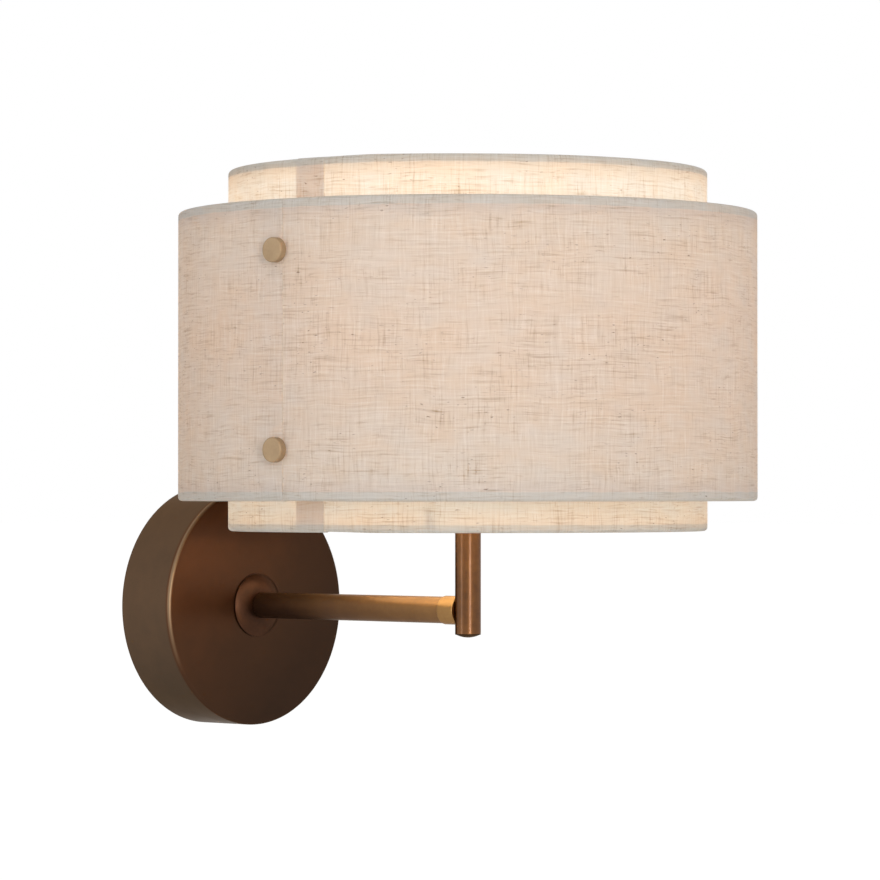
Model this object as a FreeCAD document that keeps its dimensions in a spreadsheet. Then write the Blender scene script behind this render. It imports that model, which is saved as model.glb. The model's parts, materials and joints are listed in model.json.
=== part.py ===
"""Fabric shade wall light: a brass cup, arm and stem that carry a two-layer linen shade.

Frame: +Z up, the wall is the plane y = 0, the room is on the -Y side. The origin is the
middle of the wall plate, on the arm's axis. Lengths are in millimetres.
"""
import FreeCAD, Part
import math
import os

import Sketcher

VEC = FreeCAD.Vector
SWEEP_SLACK = 0.01  # share by which a swept wire's volume may differ from area times length

# ---------------------------------------------------------------- driving dimensions
SIZES = {
    # wall cup and what it hides
    "canopy_dia": 126, "canopy_depth": 36, "canopy_wall": 1.5, "canopy_round": 2,
    "plate_thick": 2, "plate_width": 24, "plate_shoulder": 53, "tab_width": 14, "tab_depth": 18,
    "tab_hole_back": 10, "slot_width": 5, "slot_length": 14, "slot_spacing": 70,
    "cable_hole_dia": 14,
    "grub_dia": 4, "grub_length": 7, "grub_socket": 2, "grub_socket_depth": 2.5,
    "earth_height": 22, "earth_screw_dia": 4, "earth_head_dia": 7.6, "earth_head_height": 2.6,
    "lug_dia": 8.4, "lug_thick": 0.8, "lug_barrel_dia": 3.6, "lug_barrel_length": 6,
    "block_width": 30, "block_length": 14, "block_depth": 12, "block_drop": 11,
    "pole_pitch": 9, "sleeve_dia": 4.4, "sleeve_bore": 3, "sleeve_length": 12,
    "clamp_screw_dia": 2.6, "clamp_pitch": 6, "wire_dia": 2, "wire_gap": 0.6,
    "wire_inset": 5, "wire_bend": 5, "wire_rise": 5, "wire_exit": 4, "wire_bend_stem": 6.4,
    "earth_bend": 6, "earth_rise": 4,
    # arm
    "reach": 188, "collar_dia": 33, "collar_height": 4, "collar_edge": 0.8,
    "arm_dia": 13.5, "arm_bore": 11.5, "bush_length": 14,
    "nipple_dia": 10, "nipple_bore": 7.4, "nipple_spare": 3,
    "nut_flats": 14, "nut_thick": 3.5, "washer_dia": 18, "washer_thick": 1,
    "ferrule_dia": 14.5, "ferrule_back": 15, "ferrule_front": 4.5, "ferrule_socket": 5,
    "stud_dia": 8, "stud_bore": 5.6, "stud_grip": 10, "stud_clear_axis": 3.4,
    # stem
    "stem_dia": 13, "stem_bore": 10, "stem_drop": 11.8, "stem_high": 56,
    "dome_height": 1.7, "cap_spigot": 1.8, "core_bore": 6.4, "stem_nipple_length": 20,
    # lampholder and bulb
    "holder_cap_height": 18, "holder_neck_dia": 18, "holder_wall": 2, "flange_dia": 47,
    "flange_thick": 3, "holder_thread_dia": 39.5, "holder_thread_length": 33,
    "insert_thick": 4, "insert_ledge": 1, "insert_drop": 4, "sleeve_wall": 0.5,
    "sleeve_drop": 2, "socket_play": 0.25, "contact_rise": 1.3, "contact_top_dia": 6,
    "bulb_dia": 60, "bulb_length": 108, "bulb_neck_dia": 24.8, "bulb_wall": 0.8,
    "bulb_flare": 40, "screw_cap_dia": 26.3, "screw_cap_wall": 0.5, "screw_cap_length": 21.5,
    "insulator_height": 3.5, "insulator_low_dia": 10, "tip_dia": 9, "tip_height": 1.5,
    "neck_in_cap": 9, "bulb_body_rise": 18,
    # ring nut that clamps the shade
    "ring_dia": 52, "ring_lip": 2, "ring_body_dia": 45.6, "ring_height": 8,
    # shade
    "band_dia": 290, "band_height": 144, "band_low": 55,
    "layer_gap": 25, "drum_height": 180, "drum_low": 40,
    "cloth": 0.5, "liner": 0.5, "hoop_wire": 3, "fold_height": 6, "rim_round": 1.2,
    "hub_dia": 56, "hub_thick": 1.5, "hub_play": 0.5, "spoke_dia": 3, "spoke_count": 3,
    "spoke_under_hub": 1.65, "spoke_flat": 14, "spoke_drop_high": 53, "spoke_angle": 90,
    "spoke_bend": 9, "spoke_foot_bend": 6,
    "post_dia": 8, "post_inset": 24.5, "stud_head_dia": 12, "stud_head_thick": 4,
    "stud_head_round": 0.5, "post_screw_dia": 4, "screw_tip_gap": 10, "post_head_dia": 8,
    "post_head_height": 2.6, "post_washer_dia": 12, "post_washer_thick": 1,
    "shade_angle": 4.2,
    # clearances
    "snug": 0.1, "skin_gap": 0.05, "seat_gap": 0.1, "screw_play": 0.25,
}

# sizes that follow from the driving ones
FOLLOWING = {
    "cup_inner": "canopy_dia / 2 - canopy_wall",
    "tab_outer": "sqrt(cup_inner ^ 2 - tab_width ^ 2 / 4) - skin_gap",
    "block_mid_depth": "plate_thick + block_depth / 2",
    "wire_side": "(wire_dia + wire_gap) / 2",
    "cup_face_inside": "canopy_depth - canopy_wall",
    "nut_far": "cup_face_inside - washer_thick - nut_thick",
    "nipple_start": "nut_far - nipple_spare",
    "arm_start": "canopy_depth + collar_height",
    "ferrule_start": "reach - ferrule_back",
    "arm_end": "ferrule_start + ferrule_socket",
    "stud_end": "reach - stud_clear_axis",
    "core_half": "stem_drop - cap_spigot",
    "flange_low": "stem_high + holder_cap_height",
    "flange_top": "flange_low + flange_thick",
    "holder_top": "flange_top + holder_thread_length",
    "holder_inner": "holder_thread_dia / 2 - holder_wall",
    "insert_top": "flange_top + insert_thick",
    "contact_top": "insert_top + contact_rise",
    "tip_low": "contact_top + seat_gap",
    "tip_high": "tip_low + tip_height",
    "cap_low": "tip_high + insulator_height",
    "cap_high": "cap_low + screw_cap_length",
    "socket_radius": "screw_cap_dia / 2 + socket_play",
    "globe_top": "tip_low + bulb_length",
    "globe_mid": "globe_top - bulb_dia / 2",
    "flare_radius": "(bulb_dia / 2 * cos(bulb_flare * 1deg) - bulb_neck_dia / 2)"
                    " / (1 - cos(bulb_flare * 1deg))",
    "flare_high": "globe_mid - bulb_dia / 2 * sin(bulb_flare * 1deg)",
    "flare_low": "flare_high - flare_radius * sin(bulb_flare * 1deg)",
    "body_low": "cap_high - neck_in_cap",
    "body_top": "cap_high + bulb_body_rise",
    "glass_low": "body_top + skin_gap",
    "hub_low": "flange_top + seat_gap",
    "hub_top": "hub_low + hub_thick",
    "ring_low": "hub_top + seat_gap",
    "drum_top": "drum_low + drum_height",
    "band_top": "band_low + band_height",
    "post_low": "band_low + post_inset",
    "post_high": "band_top - post_inset",
    "drum_dia": "band_dia - 2 * layer_gap",
    "skin": "cloth + skin_gap",
    "drum_lined": "drum_dia / 2 - skin",
    "band_lined": "band_dia / 2 - skin",
    "hoop_inset": "skin + liner + skin_gap + hoop_wire / 2",
    "drum_hoop": "drum_dia / 2 - hoop_inset",
    "band_hoop": "band_dia / 2 - hoop_inset",
    "hoop_rise": "skin + hoop_wire / 2",
    "fold_depth": "hoop_inset + hoop_wire / 2 + skin",
    "post_start": "drum_dia / 2 + skin_gap",
    "post_end": "sqrt((band_lined - liner) ^ 2 - post_dia ^ 2 / 4) - skin_gap",
    "washer_seat": "sqrt((drum_lined - liner) ^ 2 - post_washer_dia ^ 2 / 4) - skin_gap",
    "spoke_height": "hub_low - spoke_dia / 2",
    "post_grip": "(post_end - post_start - screw_tip_gap) / 2",
    "spoke_start": "hub_dia / 2 - spoke_under_hub",
}

doc = FreeCAD.newDocument("fabric_shade_wall_light")
sheet = doc.addObject("Spreadsheet::Sheet", "Sizes")


def fill_sheet():
    """Put every size in the spreadsheet, one row each, with its name as the alias."""
    row = 1
    for name, number in SIZES.items():
        sheet.set(f"A{row}", name)
        sheet.set(f"B{row}", str(number))
        sheet.setAlias(f"B{row}", name)
        row += 1
    for name, formula in FOLLOWING.items():
        sheet.set(f"A{row}", name)
        sheet.set(f"B{row}", "=" + formula)
        sheet.setAlias(f"B{row}", name)
        row += 1
    doc.recompute()


fill_sheet()
NAMES = {*SIZES, *FOLLOWING}
nodes = {}


def size(name):
    """One number from the sheet."""
    return float(getattr(sheet, name))


def linked(formula):
    """The formula with every size name pointing at its cell in the sheet."""
    out = ""
    word = ""
    for letter in str(formula) + " ":
        if letter.isalnum() or letter == "_":
            word += letter
            continue
        out += f"Sizes.{word}" if word in NAMES else word
        out += letter
        word = ""
    return out.strip()


def worth(formula):
    """The formula's value now, as a number."""
    return float(sheet.evalExpression(linked(formula)))


def bind(thing, **formulas):
    """Tie properties to formulas; a double underscore in a name stands for a dot."""
    for name, formula in formulas.items():
        thing.setExpression(name.replace("__", "."), linked(formula))
    return thing


def place(thing, x="0", y="0", z="0"):
    """Tie where a thing stands to the sheet."""
    return bind(thing, Placement__Base__x=x, Placement__Base__y=y, Placement__Base__z=z)


def node(name, thing):
    """Keep a finished sub-part under the name of its file."""
    thing.Label = name
    nodes[name] = thing
    return thing


# ---------------------------------------------------------------- sketches and bodies
def new_body(name):
    return doc.addObject("PartDesign::Body", name + "_body")


def new_sketch(body, plane):
    """A sketch that lies on one of the body's own origin planes."""
    sketch = body.newObject("Sketcher::SketchObject", body.Name + "_sketch")
    base = [item for item in body.Origin.OriginFeatures if item.Role == plane][0]
    sketch.AttachmentSupport = [(base, "")]
    sketch.MapMode = "FlatFace"
    return sketch


def pin_point(sketch, edge, end, corner):
    """Hold one end of an edge at a corner given as two formulas."""
    for kind, formula in zip(("DistanceX", "DistanceY"), corner):
        number = sketch.addConstraint(Sketcher.Constraint(kind, -1, 1, edge, end, worth(formula)))
        sketch.setExpression(f"Constraints[{number}]", linked(formula))


def arc_between(start, end, radius):
    """A flat arc; a positive radius turns left on the way from start to end."""
    chord = end - start
    rise = math.sqrt(max(radius * radius - chord.Length ** 2 / 4, 0))
    left = VEC(-chord.y, chord.x, 0).normalize()
    centre = (start + end) / 2 + left * math.copysign(rise, radius)
    first, last = (start, end) if radius > 0 else (end, start)
    circle = Part.Circle(centre, VEC(0, 0, 1), abs(radius))
    return Part.ArcOfCircle(circle, circle.parameter(first), circle.parameter(last))


def add_outline(sketch, corners):
    """A closed outline. A corner is (x, y) or (x, y, radius of the arc to the next corner)."""
    points = [VEC(worth(corner[0]), worth(corner[1]), 0) for corner in corners]
    edges = []
    for i, corner in enumerate(corners):
        following = points[(i + 1) % len(points)]
        if len(corner) == 3:
            radius = worth(corner[2])
            edge = sketch.addGeometry(arc_between(points[i], following, radius), False)
            near = 1 if radius > 0 else 2
            bend = sketch.addConstraint(Sketcher.Constraint("Radius", edge, abs(radius)))
            sketch.setExpression(f"Constraints[{bend}]", linked(f"abs({corner[2]})"))
        else:
            edge = sketch.addGeometry(Part.LineSegment(points[i], following), False)
            near = 1
        pin_point(sketch, edge, near, corner[:2])
        edges.append((edge, near))
    for i, (edge, near) in enumerate(edges):
        far_edge, far_near = edges[(i + 1) % len(edges)]
        join = Sketcher.Constraint("Coincident", edge, 3 - near, far_edge, far_near)
        sketch.addConstraint(join)


def add_circle(sketch, dia, x="0", y="0"):
    """A circle held by its centre and diameter."""
    centre = VEC(worth(x), worth(y), 0)
    edge = sketch.addGeometry(Part.Circle(centre, VEC(0, 0, 1), worth(dia) / 2), False)
    pin_point(sketch, edge, 3, (x, y))
    round_ = sketch.addConstraint(Sketcher.Constraint("Diameter", edge, worth(dia)))
    sketch.setExpression(f"Constraints[{round_}]", linked(dia))


def turn(name, plane, corners):
    """A body turned about the sketch's upright axis."""
    body = new_body(name)
    sketch = new_sketch(body, plane)
    add_outline(sketch, corners)
    turned = body.newObject("PartDesign::Revolution", name + "_turned")
    turned.Profile = sketch
    turned.ReferenceAxis = (sketch, ["V_Axis"])
    turned.Angle = 360
    sketch.Visibility = False
    return body


def pad(body, sketch, length):
    """Thicken a sketch along its plane's normal."""
    padded = body.newObject("PartDesign::Pad", body.Name + "_pad")
    padded.Profile = sketch
    return bind(padded, Length=length)


def cut_through(body, sketch):
    """Cut a sketch right through the body, both ways."""
    doc.recompute()
    before = body.Shape.Volume
    cut = body.newObject("PartDesign::Pocket", body.Name + "_cut")
    cut.Profile = sketch
    cut.Type = "ThroughAll"
    cut.Midplane = True
    doc.recompute()
    if body.Shape.Volume >= before:
        raise RuntimeError(f"{body.Name}: the cut removes nothing")
    return cut


def tube(name, plane, inner, outer, low, high):
    """A plain round tube between two radii and two heights."""
    return turn(name, plane, [(inner, low), (outer, low), (outer, high), (inner, high)])


# ---------------------------------------------------------------- plain solids
UP = FreeCAD.Rotation()
OUT = FreeCAD.Rotation(VEC(1, 0, 0), 90)
SIDE = FreeCAD.Rotation(VEC(0, 1, 0), 90)


def cylinder(dia, length, where, facing=UP):
    """A round bar that starts at a point and runs up, out of the wall (-Y) or along +X."""
    bar = doc.addObject("Part::Cylinder", "bar")
    bar.Placement.Rotation = facing
    return place(bind(bar, Radius=f"({dia}) / 2", Height=length), *where)


def taper(dia, far_dia, length, where, facing=UP):
    """A round bar that narrows from one diameter to another."""
    bar = doc.addObject("Part::Cone", "taper")
    bar.Placement.Rotation = facing
    bind(bar, Radius1=f"({dia}) / 2", Radius2=f"({far_dia}) / 2", Height=length)
    return place(bar, *where)


def hexagon(flats, length, where, facing=UP):
    """A six-sided bar, measured across its flats."""
    bar = doc.addObject("Part::Prism", "hexagon")
    bar.Polygon = 6
    bar.Placement.Rotation = facing
    return place(bind(bar, Circumradius=f"({flats}) / sqrt(3)", Height=length), *where)


def box(x_span, y_span, z_span, where):
    """A block that starts at its lowest corner."""
    block = doc.addObject("Part::Box", "block")
    return place(bind(block, Length=x_span, Width=y_span, Height=z_span), *where)


def fuse(*things):
    joined = doc.addObject("Part::MultiFuse", "joined")
    joined.Shapes = list(things)
    return joined


def cut(base, *tools):
    cut_away = doc.addObject("Part::Cut", "cut_away")
    cut_away.Base = base
    cut_away.Tool = tools[0] if len(tools) == 1 else fuse(*tools)
    return cut_away


def group(name, things):
    """Several separate solids of one kind, kept as one node."""
    bunch = doc.addObject("Part::Compound", name)
    bunch.Links = things
    return node(name, bunch)


def swept(name, route, dia, bends):
    """A round wire along straight runs joined by arcs, one bend radius for each inner point."""
    points = [VEC(*point) for point in route]
    edges = []
    start = points[0]
    for before, corner, after, radius in zip(points, points[1:], points[2:], bends):
        back = (before - corner).normalize()
        ahead = (after - corner).normalize()
        half = back.getAngle(ahead) / 2
        trim = radius / math.tan(half)
        middle = corner + (back + ahead).normalize() * (radius / math.sin(half) - radius)
        edges.append(Part.LineSegment(start, corner + back * trim).toShape())
        edges.append(Part.Arc(corner + back * trim, middle, corner + ahead * trim).toShape())
        start = corner + ahead * trim
    edges.append(Part.LineSegment(start, points[-1]).toShape())
    path = Part.Wire(edges)
    ring = Part.Wire(Part.Circle(points[0], points[1] - points[0], dia / 2).toShape())
    solid = path.makePipeShell([ring], True, True)
    expected = math.pi * dia * dia / 4 * path.Length
    if abs(solid.Volume - expected) > SWEEP_SLACK * expected:
        raise RuntimeError(f"{name}: the swept volume is off")
    wire = doc.addObject("Part::Feature", name)
    wire.Shape = solid
    return wire


# ---------------------------------------------------------------- wall side
def wall_bracket():
    """A cross-shaped strip with two bent tabs, slots for the wall screws and a cable hole."""
    half, neck, far = "plate_width / 2", "tab_width / 2", "tab_outer"
    shoulder = "plate_shoulder"
    corners = [(half, f"-{shoulder}"), (half, shoulder), (neck, shoulder), (neck, far),
               (f"-{neck}", far), (f"-{neck}", shoulder), (f"-{half}", shoulder),
               (f"-{half}", f"-{shoulder}"), (f"-{neck}", f"-{shoulder}"),
               (f"-{neck}", f"-{far}"), (neck, f"-{far}"), (neck, f"-{shoulder}")]
    body = new_body("wall_bracket")
    plate = new_sketch(body, "XZ_Plane")
    add_outline(plate, corners)
    pad(body, plate, "plate_thick")
    for side in ("", "-"):
        tab = new_sketch(body, "XZ_Plane")
        inner = f"{side}(tab_outer - plate_thick)"
        outer = f"{side}tab_outer"
        add_outline(tab, [(f"-{neck}", inner), (neck, inner), (neck, outer), (f"-{neck}", outer)])
        pad(body, tab, "tab_depth")
    holes = new_sketch(body, "XZ_Plane")
    add_circle(holes, "cable_hole_dia")
    add_circle(holes, "earth_screw_dia + 2 * skin_gap", "0", "earth_height")
    cut_through(body, holes)
    run = "(slot_length - slot_width) / 2"
    for side in ("", "-"):
        middle = f"{side}slot_spacing / 2"
        straight = new_sketch(body, "XZ_Plane")
        reach = "slot_width / 2"
        add_outline(straight, [(f"-{reach}", f"{middle} - {run}"), (reach, f"{middle} - {run}"),
                               (reach, f"{middle} + {run}"), (f"-{reach}", f"{middle} + {run}")])
        cut_through(body, straight)
        for end in ("-", "+"):
            rounded = new_sketch(body, "XZ_Plane")
            add_circle(rounded, "slot_width", "0", f"{middle} {end} {run}")
            cut_through(body, rounded)
    tapped = new_sketch(body, "XY_Plane")
    add_circle(tapped, "grub_dia + 2 * skin_gap", "0", "-tab_hole_back")
    cut_through(body, tapped)
    return node("wall_bracket", body)


def canopy_cup():
    """The spun cup: a round wall, a flat face with a rounded edge and a hole for the arm."""
    outer, inner, hole = "canopy_dia / 2", "cup_inner", "nipple_dia / 2 + snug"
    bend, bend_in = "canopy_round", "(canopy_round - canopy_wall)"
    face, back = "-canopy_depth", "-cup_face_inside"
    body = turn("canopy_cup", "XY_Plane", [
        (outer, "0"), (inner, "0"), (inner, f"{back} + {bend_in}", f"-{bend_in}"),
        (f"{inner} - {bend_in}", back), (hole, back), (hole, face),
        (f"{outer} - {bend}", face, bend), (outer, f"{face} + {bend}")])
    screws = new_sketch(body, "XY_Plane")
    add_circle(screws, "grub_dia + 2 * snug", "0", "-tab_hole_back")
    cut_through(body, screws)
    return node("canopy_cup", body)


def canopy_grub_screws():
    """Two socket set screws, flush with the cup, at its top and bottom."""
    mouth = "(canopy_dia / 2 - snug)"
    top = (f"{mouth} - grub_length", f"{mouth} - grub_socket_depth")
    bottom = (f"-{mouth}", f"-{mouth}")
    screws = []
    for low, sunk in (top, bottom):
        shank = cylinder("grub_dia", "grub_length", ("0", "-tab_hole_back", low))
        socket = hexagon("grub_socket", "grub_socket_depth", ("0", "-tab_hole_back", sunk))
        screws.append(cut(shank, socket))
    return group("canopy_grub_screws", screws)


def earth_parts():
    """The earth screw in the bracket, the ring lug under its head and the wire to it."""
    height = "earth_height"
    head_back = "plate_thick + lug_thick"
    shank = cylinder("earth_screw_dia", head_back, ("0", "0", height), OUT)
    head = cylinder("earth_head_dia", "earth_head_height", ("0", f"-({head_back})", height), OUT)
    node("earth_screw", fuse(shank, head))
    ring = cylinder("lug_dia", "lug_thick", ("0", "-plate_thick", height), OUT)
    barrel_top = "earth_height - earth_head_dia / 2 - snug"
    barrel_back = "plate_thick + skin_gap + lug_barrel_dia / 2"
    barrel_low = f"({barrel_top} - lug_barrel_length)"
    barrel = cylinder("lug_barrel_dia", "lug_barrel_length", ("0", f"-({barrel_back})", barrel_low))
    hole = cylinder("earth_screw_dia + 2 * snug", head_back, ("0", "0", height), OUT)
    bore = cylinder("wire_dia + 2 * skin_gap", "lug_barrel_length",
                    ("0", f"-({barrel_back})", barrel_low))
    node("earth_lug", cut(fuse(ring, barrel), hole, bore))
    behind = -worth(barrel_back)
    low = worth(barrel_low)
    mid = -size("block_mid_depth")
    block_top = -size("block_drop")
    inset = size("wire_inset")
    rise = size("earth_rise")
    bend = size("earth_bend")
    route = [(0, behind, low + inset), (0, behind, low - rise), (0, mid, block_top + rise),
             (0, mid, block_top - inset)]
    node("earth_wire", swept("earth_wire", route, size("wire_dia"), [bend, bend]))


def terminal_parts():
    """A three-pole terminal block: housing, brass sleeves and two clamp screws a pole."""
    top = "-block_drop"
    centre = "-block_mid_depth"
    front = "-(plate_thick + block_depth)"
    housing = box("block_width", "block_depth", "block_length",
                  ("-block_width / 2", front, f"{top} - block_length"))
    sleeves = []
    screws = []
    holes = []
    clear = "clamp_screw_dia + 2 * skin_gap"
    for pole in (-1, 0, 1):
        side = f"{pole} * pole_pitch"
        low = f"{top} - (block_length + sleeve_length) / 2"
        holes.append(cylinder("sleeve_dia + 2 * skin_gap", "block_length",
                              (side, centre, f"{top} - block_length")))
        outer = cylinder("sleeve_dia", "sleeve_length", (side, centre, low))
        inner = cylinder("sleeve_bore", "sleeve_length", (side, centre, low))
        drilled = []
        for row in (-1, 1):
            height = f"{top} - block_length / 2 + {row} * clamp_pitch / 2"
            start = "-(block_mid_depth + wire_dia / 2 + skin_gap)"
            length = "block_depth / 2 - wire_dia / 2 - skin_gap"
            drilled.append(cylinder(clear, "block_depth", (side, centre, height), OUT))
            holes.append(cylinder(clear, "block_depth", (side, centre, height), OUT))
            screws.append(cylinder("clamp_screw_dia", length, (side, start, height), OUT))
        sleeves.append(cut(outer, inner, *drilled))
    node("terminal_block", cut(housing, *holes))
    group("terminal_sleeves", sleeves)
    group("terminal_screws", screws)


def lead(name, side):
    """One insulated lead from the terminal block through the arm and stem to the lampholder."""
    x = side * size("wire_side")
    pole = side * size("pole_pitch")
    mid = -size("block_mid_depth")
    block_top = -size("block_drop")
    turn_down = size("nipple_start") - size("wire_exit")
    bend = size("wire_bend")
    route = [(x, -size("reach"), size("flange_low") - size("skin_gap")), (x, -size("reach"), 0),
             (x, -turn_down, 0), (pole, mid, block_top + size("wire_rise")),
             (pole, mid, block_top - size("wire_inset"))]
    node(name, swept(name, route, size("wire_dia"), [size("wire_bend_stem"), bend, bend]))


# ---------------------------------------------------------------- arm
def arm_parts():
    """Everything on the arm's axis, from the nut inside the cup to the stud in the stem."""
    tight = "nipple_dia / 2 + snug"
    node("arm_nipple", tube("arm_nipple", "XY_Plane", "nipple_bore / 2", "nipple_dia / 2",
                            "-(arm_start + bush_length)", "-nipple_start"))
    hole = cylinder("nipple_dia + 2 * snug", "nut_thick", ("0", "-nut_far", "0"), OUT)
    node("arm_lock_nut", cut(hexagon("nut_flats", "nut_thick", ("0", "-nut_far", "0"), OUT), hole))
    node("arm_lock_washer", tube("arm_lock_washer", "XY_Plane", tight, "washer_dia / 2",
                                 "-cup_face_inside", "-(cup_face_inside - washer_thick)"))
    seat = "(arm_dia / 2 + collar_edge)"
    run = f"(collar_dia / 2 - {seat})"
    rise = "(collar_height - collar_edge)"
    crown = f"({run} ^ 2 + {rise} ^ 2) / (2 * {rise})"
    foot = "-(canopy_depth + collar_edge)"
    node("arm_collar", turn("arm_collar", "XY_Plane", [
        (tight, "-canopy_depth"), (tight, "-arm_start"), (seat, "-arm_start", crown),
        ("collar_dia / 2", foot), ("collar_dia / 2", "-canopy_depth")]))
    node("arm_tube", tube("arm_tube", "XY_Plane", "arm_bore / 2", "arm_dia / 2",
                          "-arm_end", "-arm_start"))
    fitted = "arm_bore / 2 - skin_gap"
    node("arm_bush_wall", tube("arm_bush_wall", "XY_Plane", tight, fitted,
                               "-(arm_start + bush_length)", "-arm_start"))
    node("arm_bush_stem", tube("arm_bush_stem", "XY_Plane", "stud_dia / 2 + skin_gap", fitted,
                               "-arm_end", "-(arm_end - bush_length)"))
    node("stem_stud", tube("stem_stud", "XY_Plane", "stud_bore / 2", "stud_dia / 2",
                           "-stud_end", "-(arm_end - stud_grip)"))


def arm_ferrule():
    """The end sleeve of the arm, notched to sit against the round stem."""
    length = "ferrule_back - ferrule_front"
    blank = cylinder("ferrule_dia", length, ("0", "-ferrule_start", "0"), OUT)
    socket = cylinder("arm_dia + 2 * skin_gap", "ferrule_socket", ("0", "-ferrule_start", "0"), OUT)
    through = cylinder("stud_dia + 2 * snug", length, ("0", "-ferrule_start", "0"), OUT)
    notch = cylinder("stem_dia + 2 * snug", "2 * ferrule_dia", ("0", "-reach", "-ferrule_dia"))
    return node("arm_ferrule", cut(blank, socket, through, notch))


# ---------------------------------------------------------------- stem
def stem_parts():
    """The upright tube, its core, domed end and top nipple."""
    column = tube("stem_tube", "XZ_Plane", "stem_bore / 2", "stem_dia / 2",
                  "-stem_drop", "stem_high")
    doc.recompute()
    side_hole = new_sketch(column, "XZ_Plane")
    add_circle(side_hole, "stud_dia + 2 * snug")
    half_cut = column.newObject("PartDesign::Pocket", "stem_side_hole")
    half_cut.Profile = side_hole
    bind(half_cut, Length="stem_dia")
    node("stem_tube", place(column, y="-reach"))
    fitted = "stem_bore / 2 - skin_gap"
    core = cylinder(f"2 * ({fitted})", "2 * core_half", ("0", "-reach", "-core_half"))
    riser = cylinder("core_bore", "core_half", ("0", "-reach", "0"))
    inlet = cylinder("stud_dia + 2 * skin_gap", "stem_bore", ("0", "-reach + stem_bore", "0"), OUT)
    turning = doc.addObject("Part::Sphere", "turning_space")
    place(bind(turning, Radius="stud_dia / 2 + skin_gap"), y="-reach")
    node("stem_core", cut(core, riser, inlet, turning))
    rim = "stem_dia / 2"
    dome = f"(({rim}) ^ 2 + dome_height ^ 2) / (2 * dome_height)"
    cap = turn("stem_end_cap", "XZ_Plane", [
        ("0", "-(stem_drop + dome_height)", dome), (rim, "-stem_drop"), (fitted, "-stem_drop"),
        (fitted, "-core_half - skin_gap"), ("0", "-core_half - skin_gap")])
    node("stem_end_cap", place(cap, y="-reach"))
    half = "stem_nipple_length / 2"
    nipple = tube("stem_nipple", "XZ_Plane", "nipple_bore / 2", f"stem_bore / 2 - skin_gap",
                  f"stem_high - {half}", f"stem_high + {half}")
    node("stem_nipple", place(nipple, y="-reach"))


# ---------------------------------------------------------------- lampholder and bulb
def lampholder_parts():
    """The holder on the stem: cap, threaded shell with its flange, insert and contacts."""
    rim = "holder_thread_dia / 2"
    hole = "stem_bore / 2 + skin_gap"
    neck = "holder_neck_dia / 2"
    knee = "(stem_high + holder_cap_height / 2)"
    cap = turn("lampholder_cap", "XZ_Plane", [
        (hole, "stem_high"), (neck, "stem_high"), (rim, knee), (rim, "flange_low"),
        ("holder_inner", "flange_low"), ("holder_inner", f"{knee} + holder_wall / 2"),
        (neck, "stem_high + holder_wall"), (hole, "stem_high + holder_wall")])
    node("lampholder_cap", place(cap, y="-reach"))
    ledge = "(holder_inner - insert_ledge)"
    shell = turn("lampholder_shell", "XZ_Plane", [
        (ledge, "flange_low"), ("flange_dia / 2", "flange_low"), ("flange_dia / 2", "flange_top"),
        (rim, "flange_top"), (rim, "holder_top"), ("holder_inner", "holder_top"),
        ("holder_inner", "flange_top"), (ledge, "flange_top")])
    node("lampholder_shell", place(shell, y="-reach"))
    body = "(holder_inner - skin_gap)"
    waist = "(socket_radius + sleeve_wall + skin_gap)"
    insert = turn("lampholder_insert", "XZ_Plane", [
        ("0", "flange_low"), (f"{ledge} - skin_gap", "flange_low"),
        (f"{ledge} - skin_gap", "flange_top + skin_gap"), (body, "flange_top + skin_gap"),
        (body, "holder_top - insert_drop"), (waist, "holder_top - insert_drop"),
        (waist, "insert_top"), ("0", "insert_top")])
    node("lampholder_insert", place(insert, y="-reach"))
    sleeve = tube("socket_sleeve", "XZ_Plane", "socket_radius", "socket_radius + sleeve_wall",
                  "insert_top", "holder_top - sleeve_drop")
    node("socket_sleeve", place(sleeve, y="-reach"))
    tongue = turn("centre_contact", "XZ_Plane", [
        ("0", "insert_top"), ("tip_dia / 2", "insert_top"), ("contact_top_dia / 2", "contact_top"),
        ("0", "contact_top")])
    node("centre_contact", place(tongue, y="-reach"))


def flare_at(height, bend):
    """The radius of the bulb's flare at a height, for an arc of the given bend."""
    return f"bulb_neck_dia / 2 + flare_radius - sqrt(({bend}) ^ 2 - ({height} - flare_low) ^ 2)"


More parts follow.
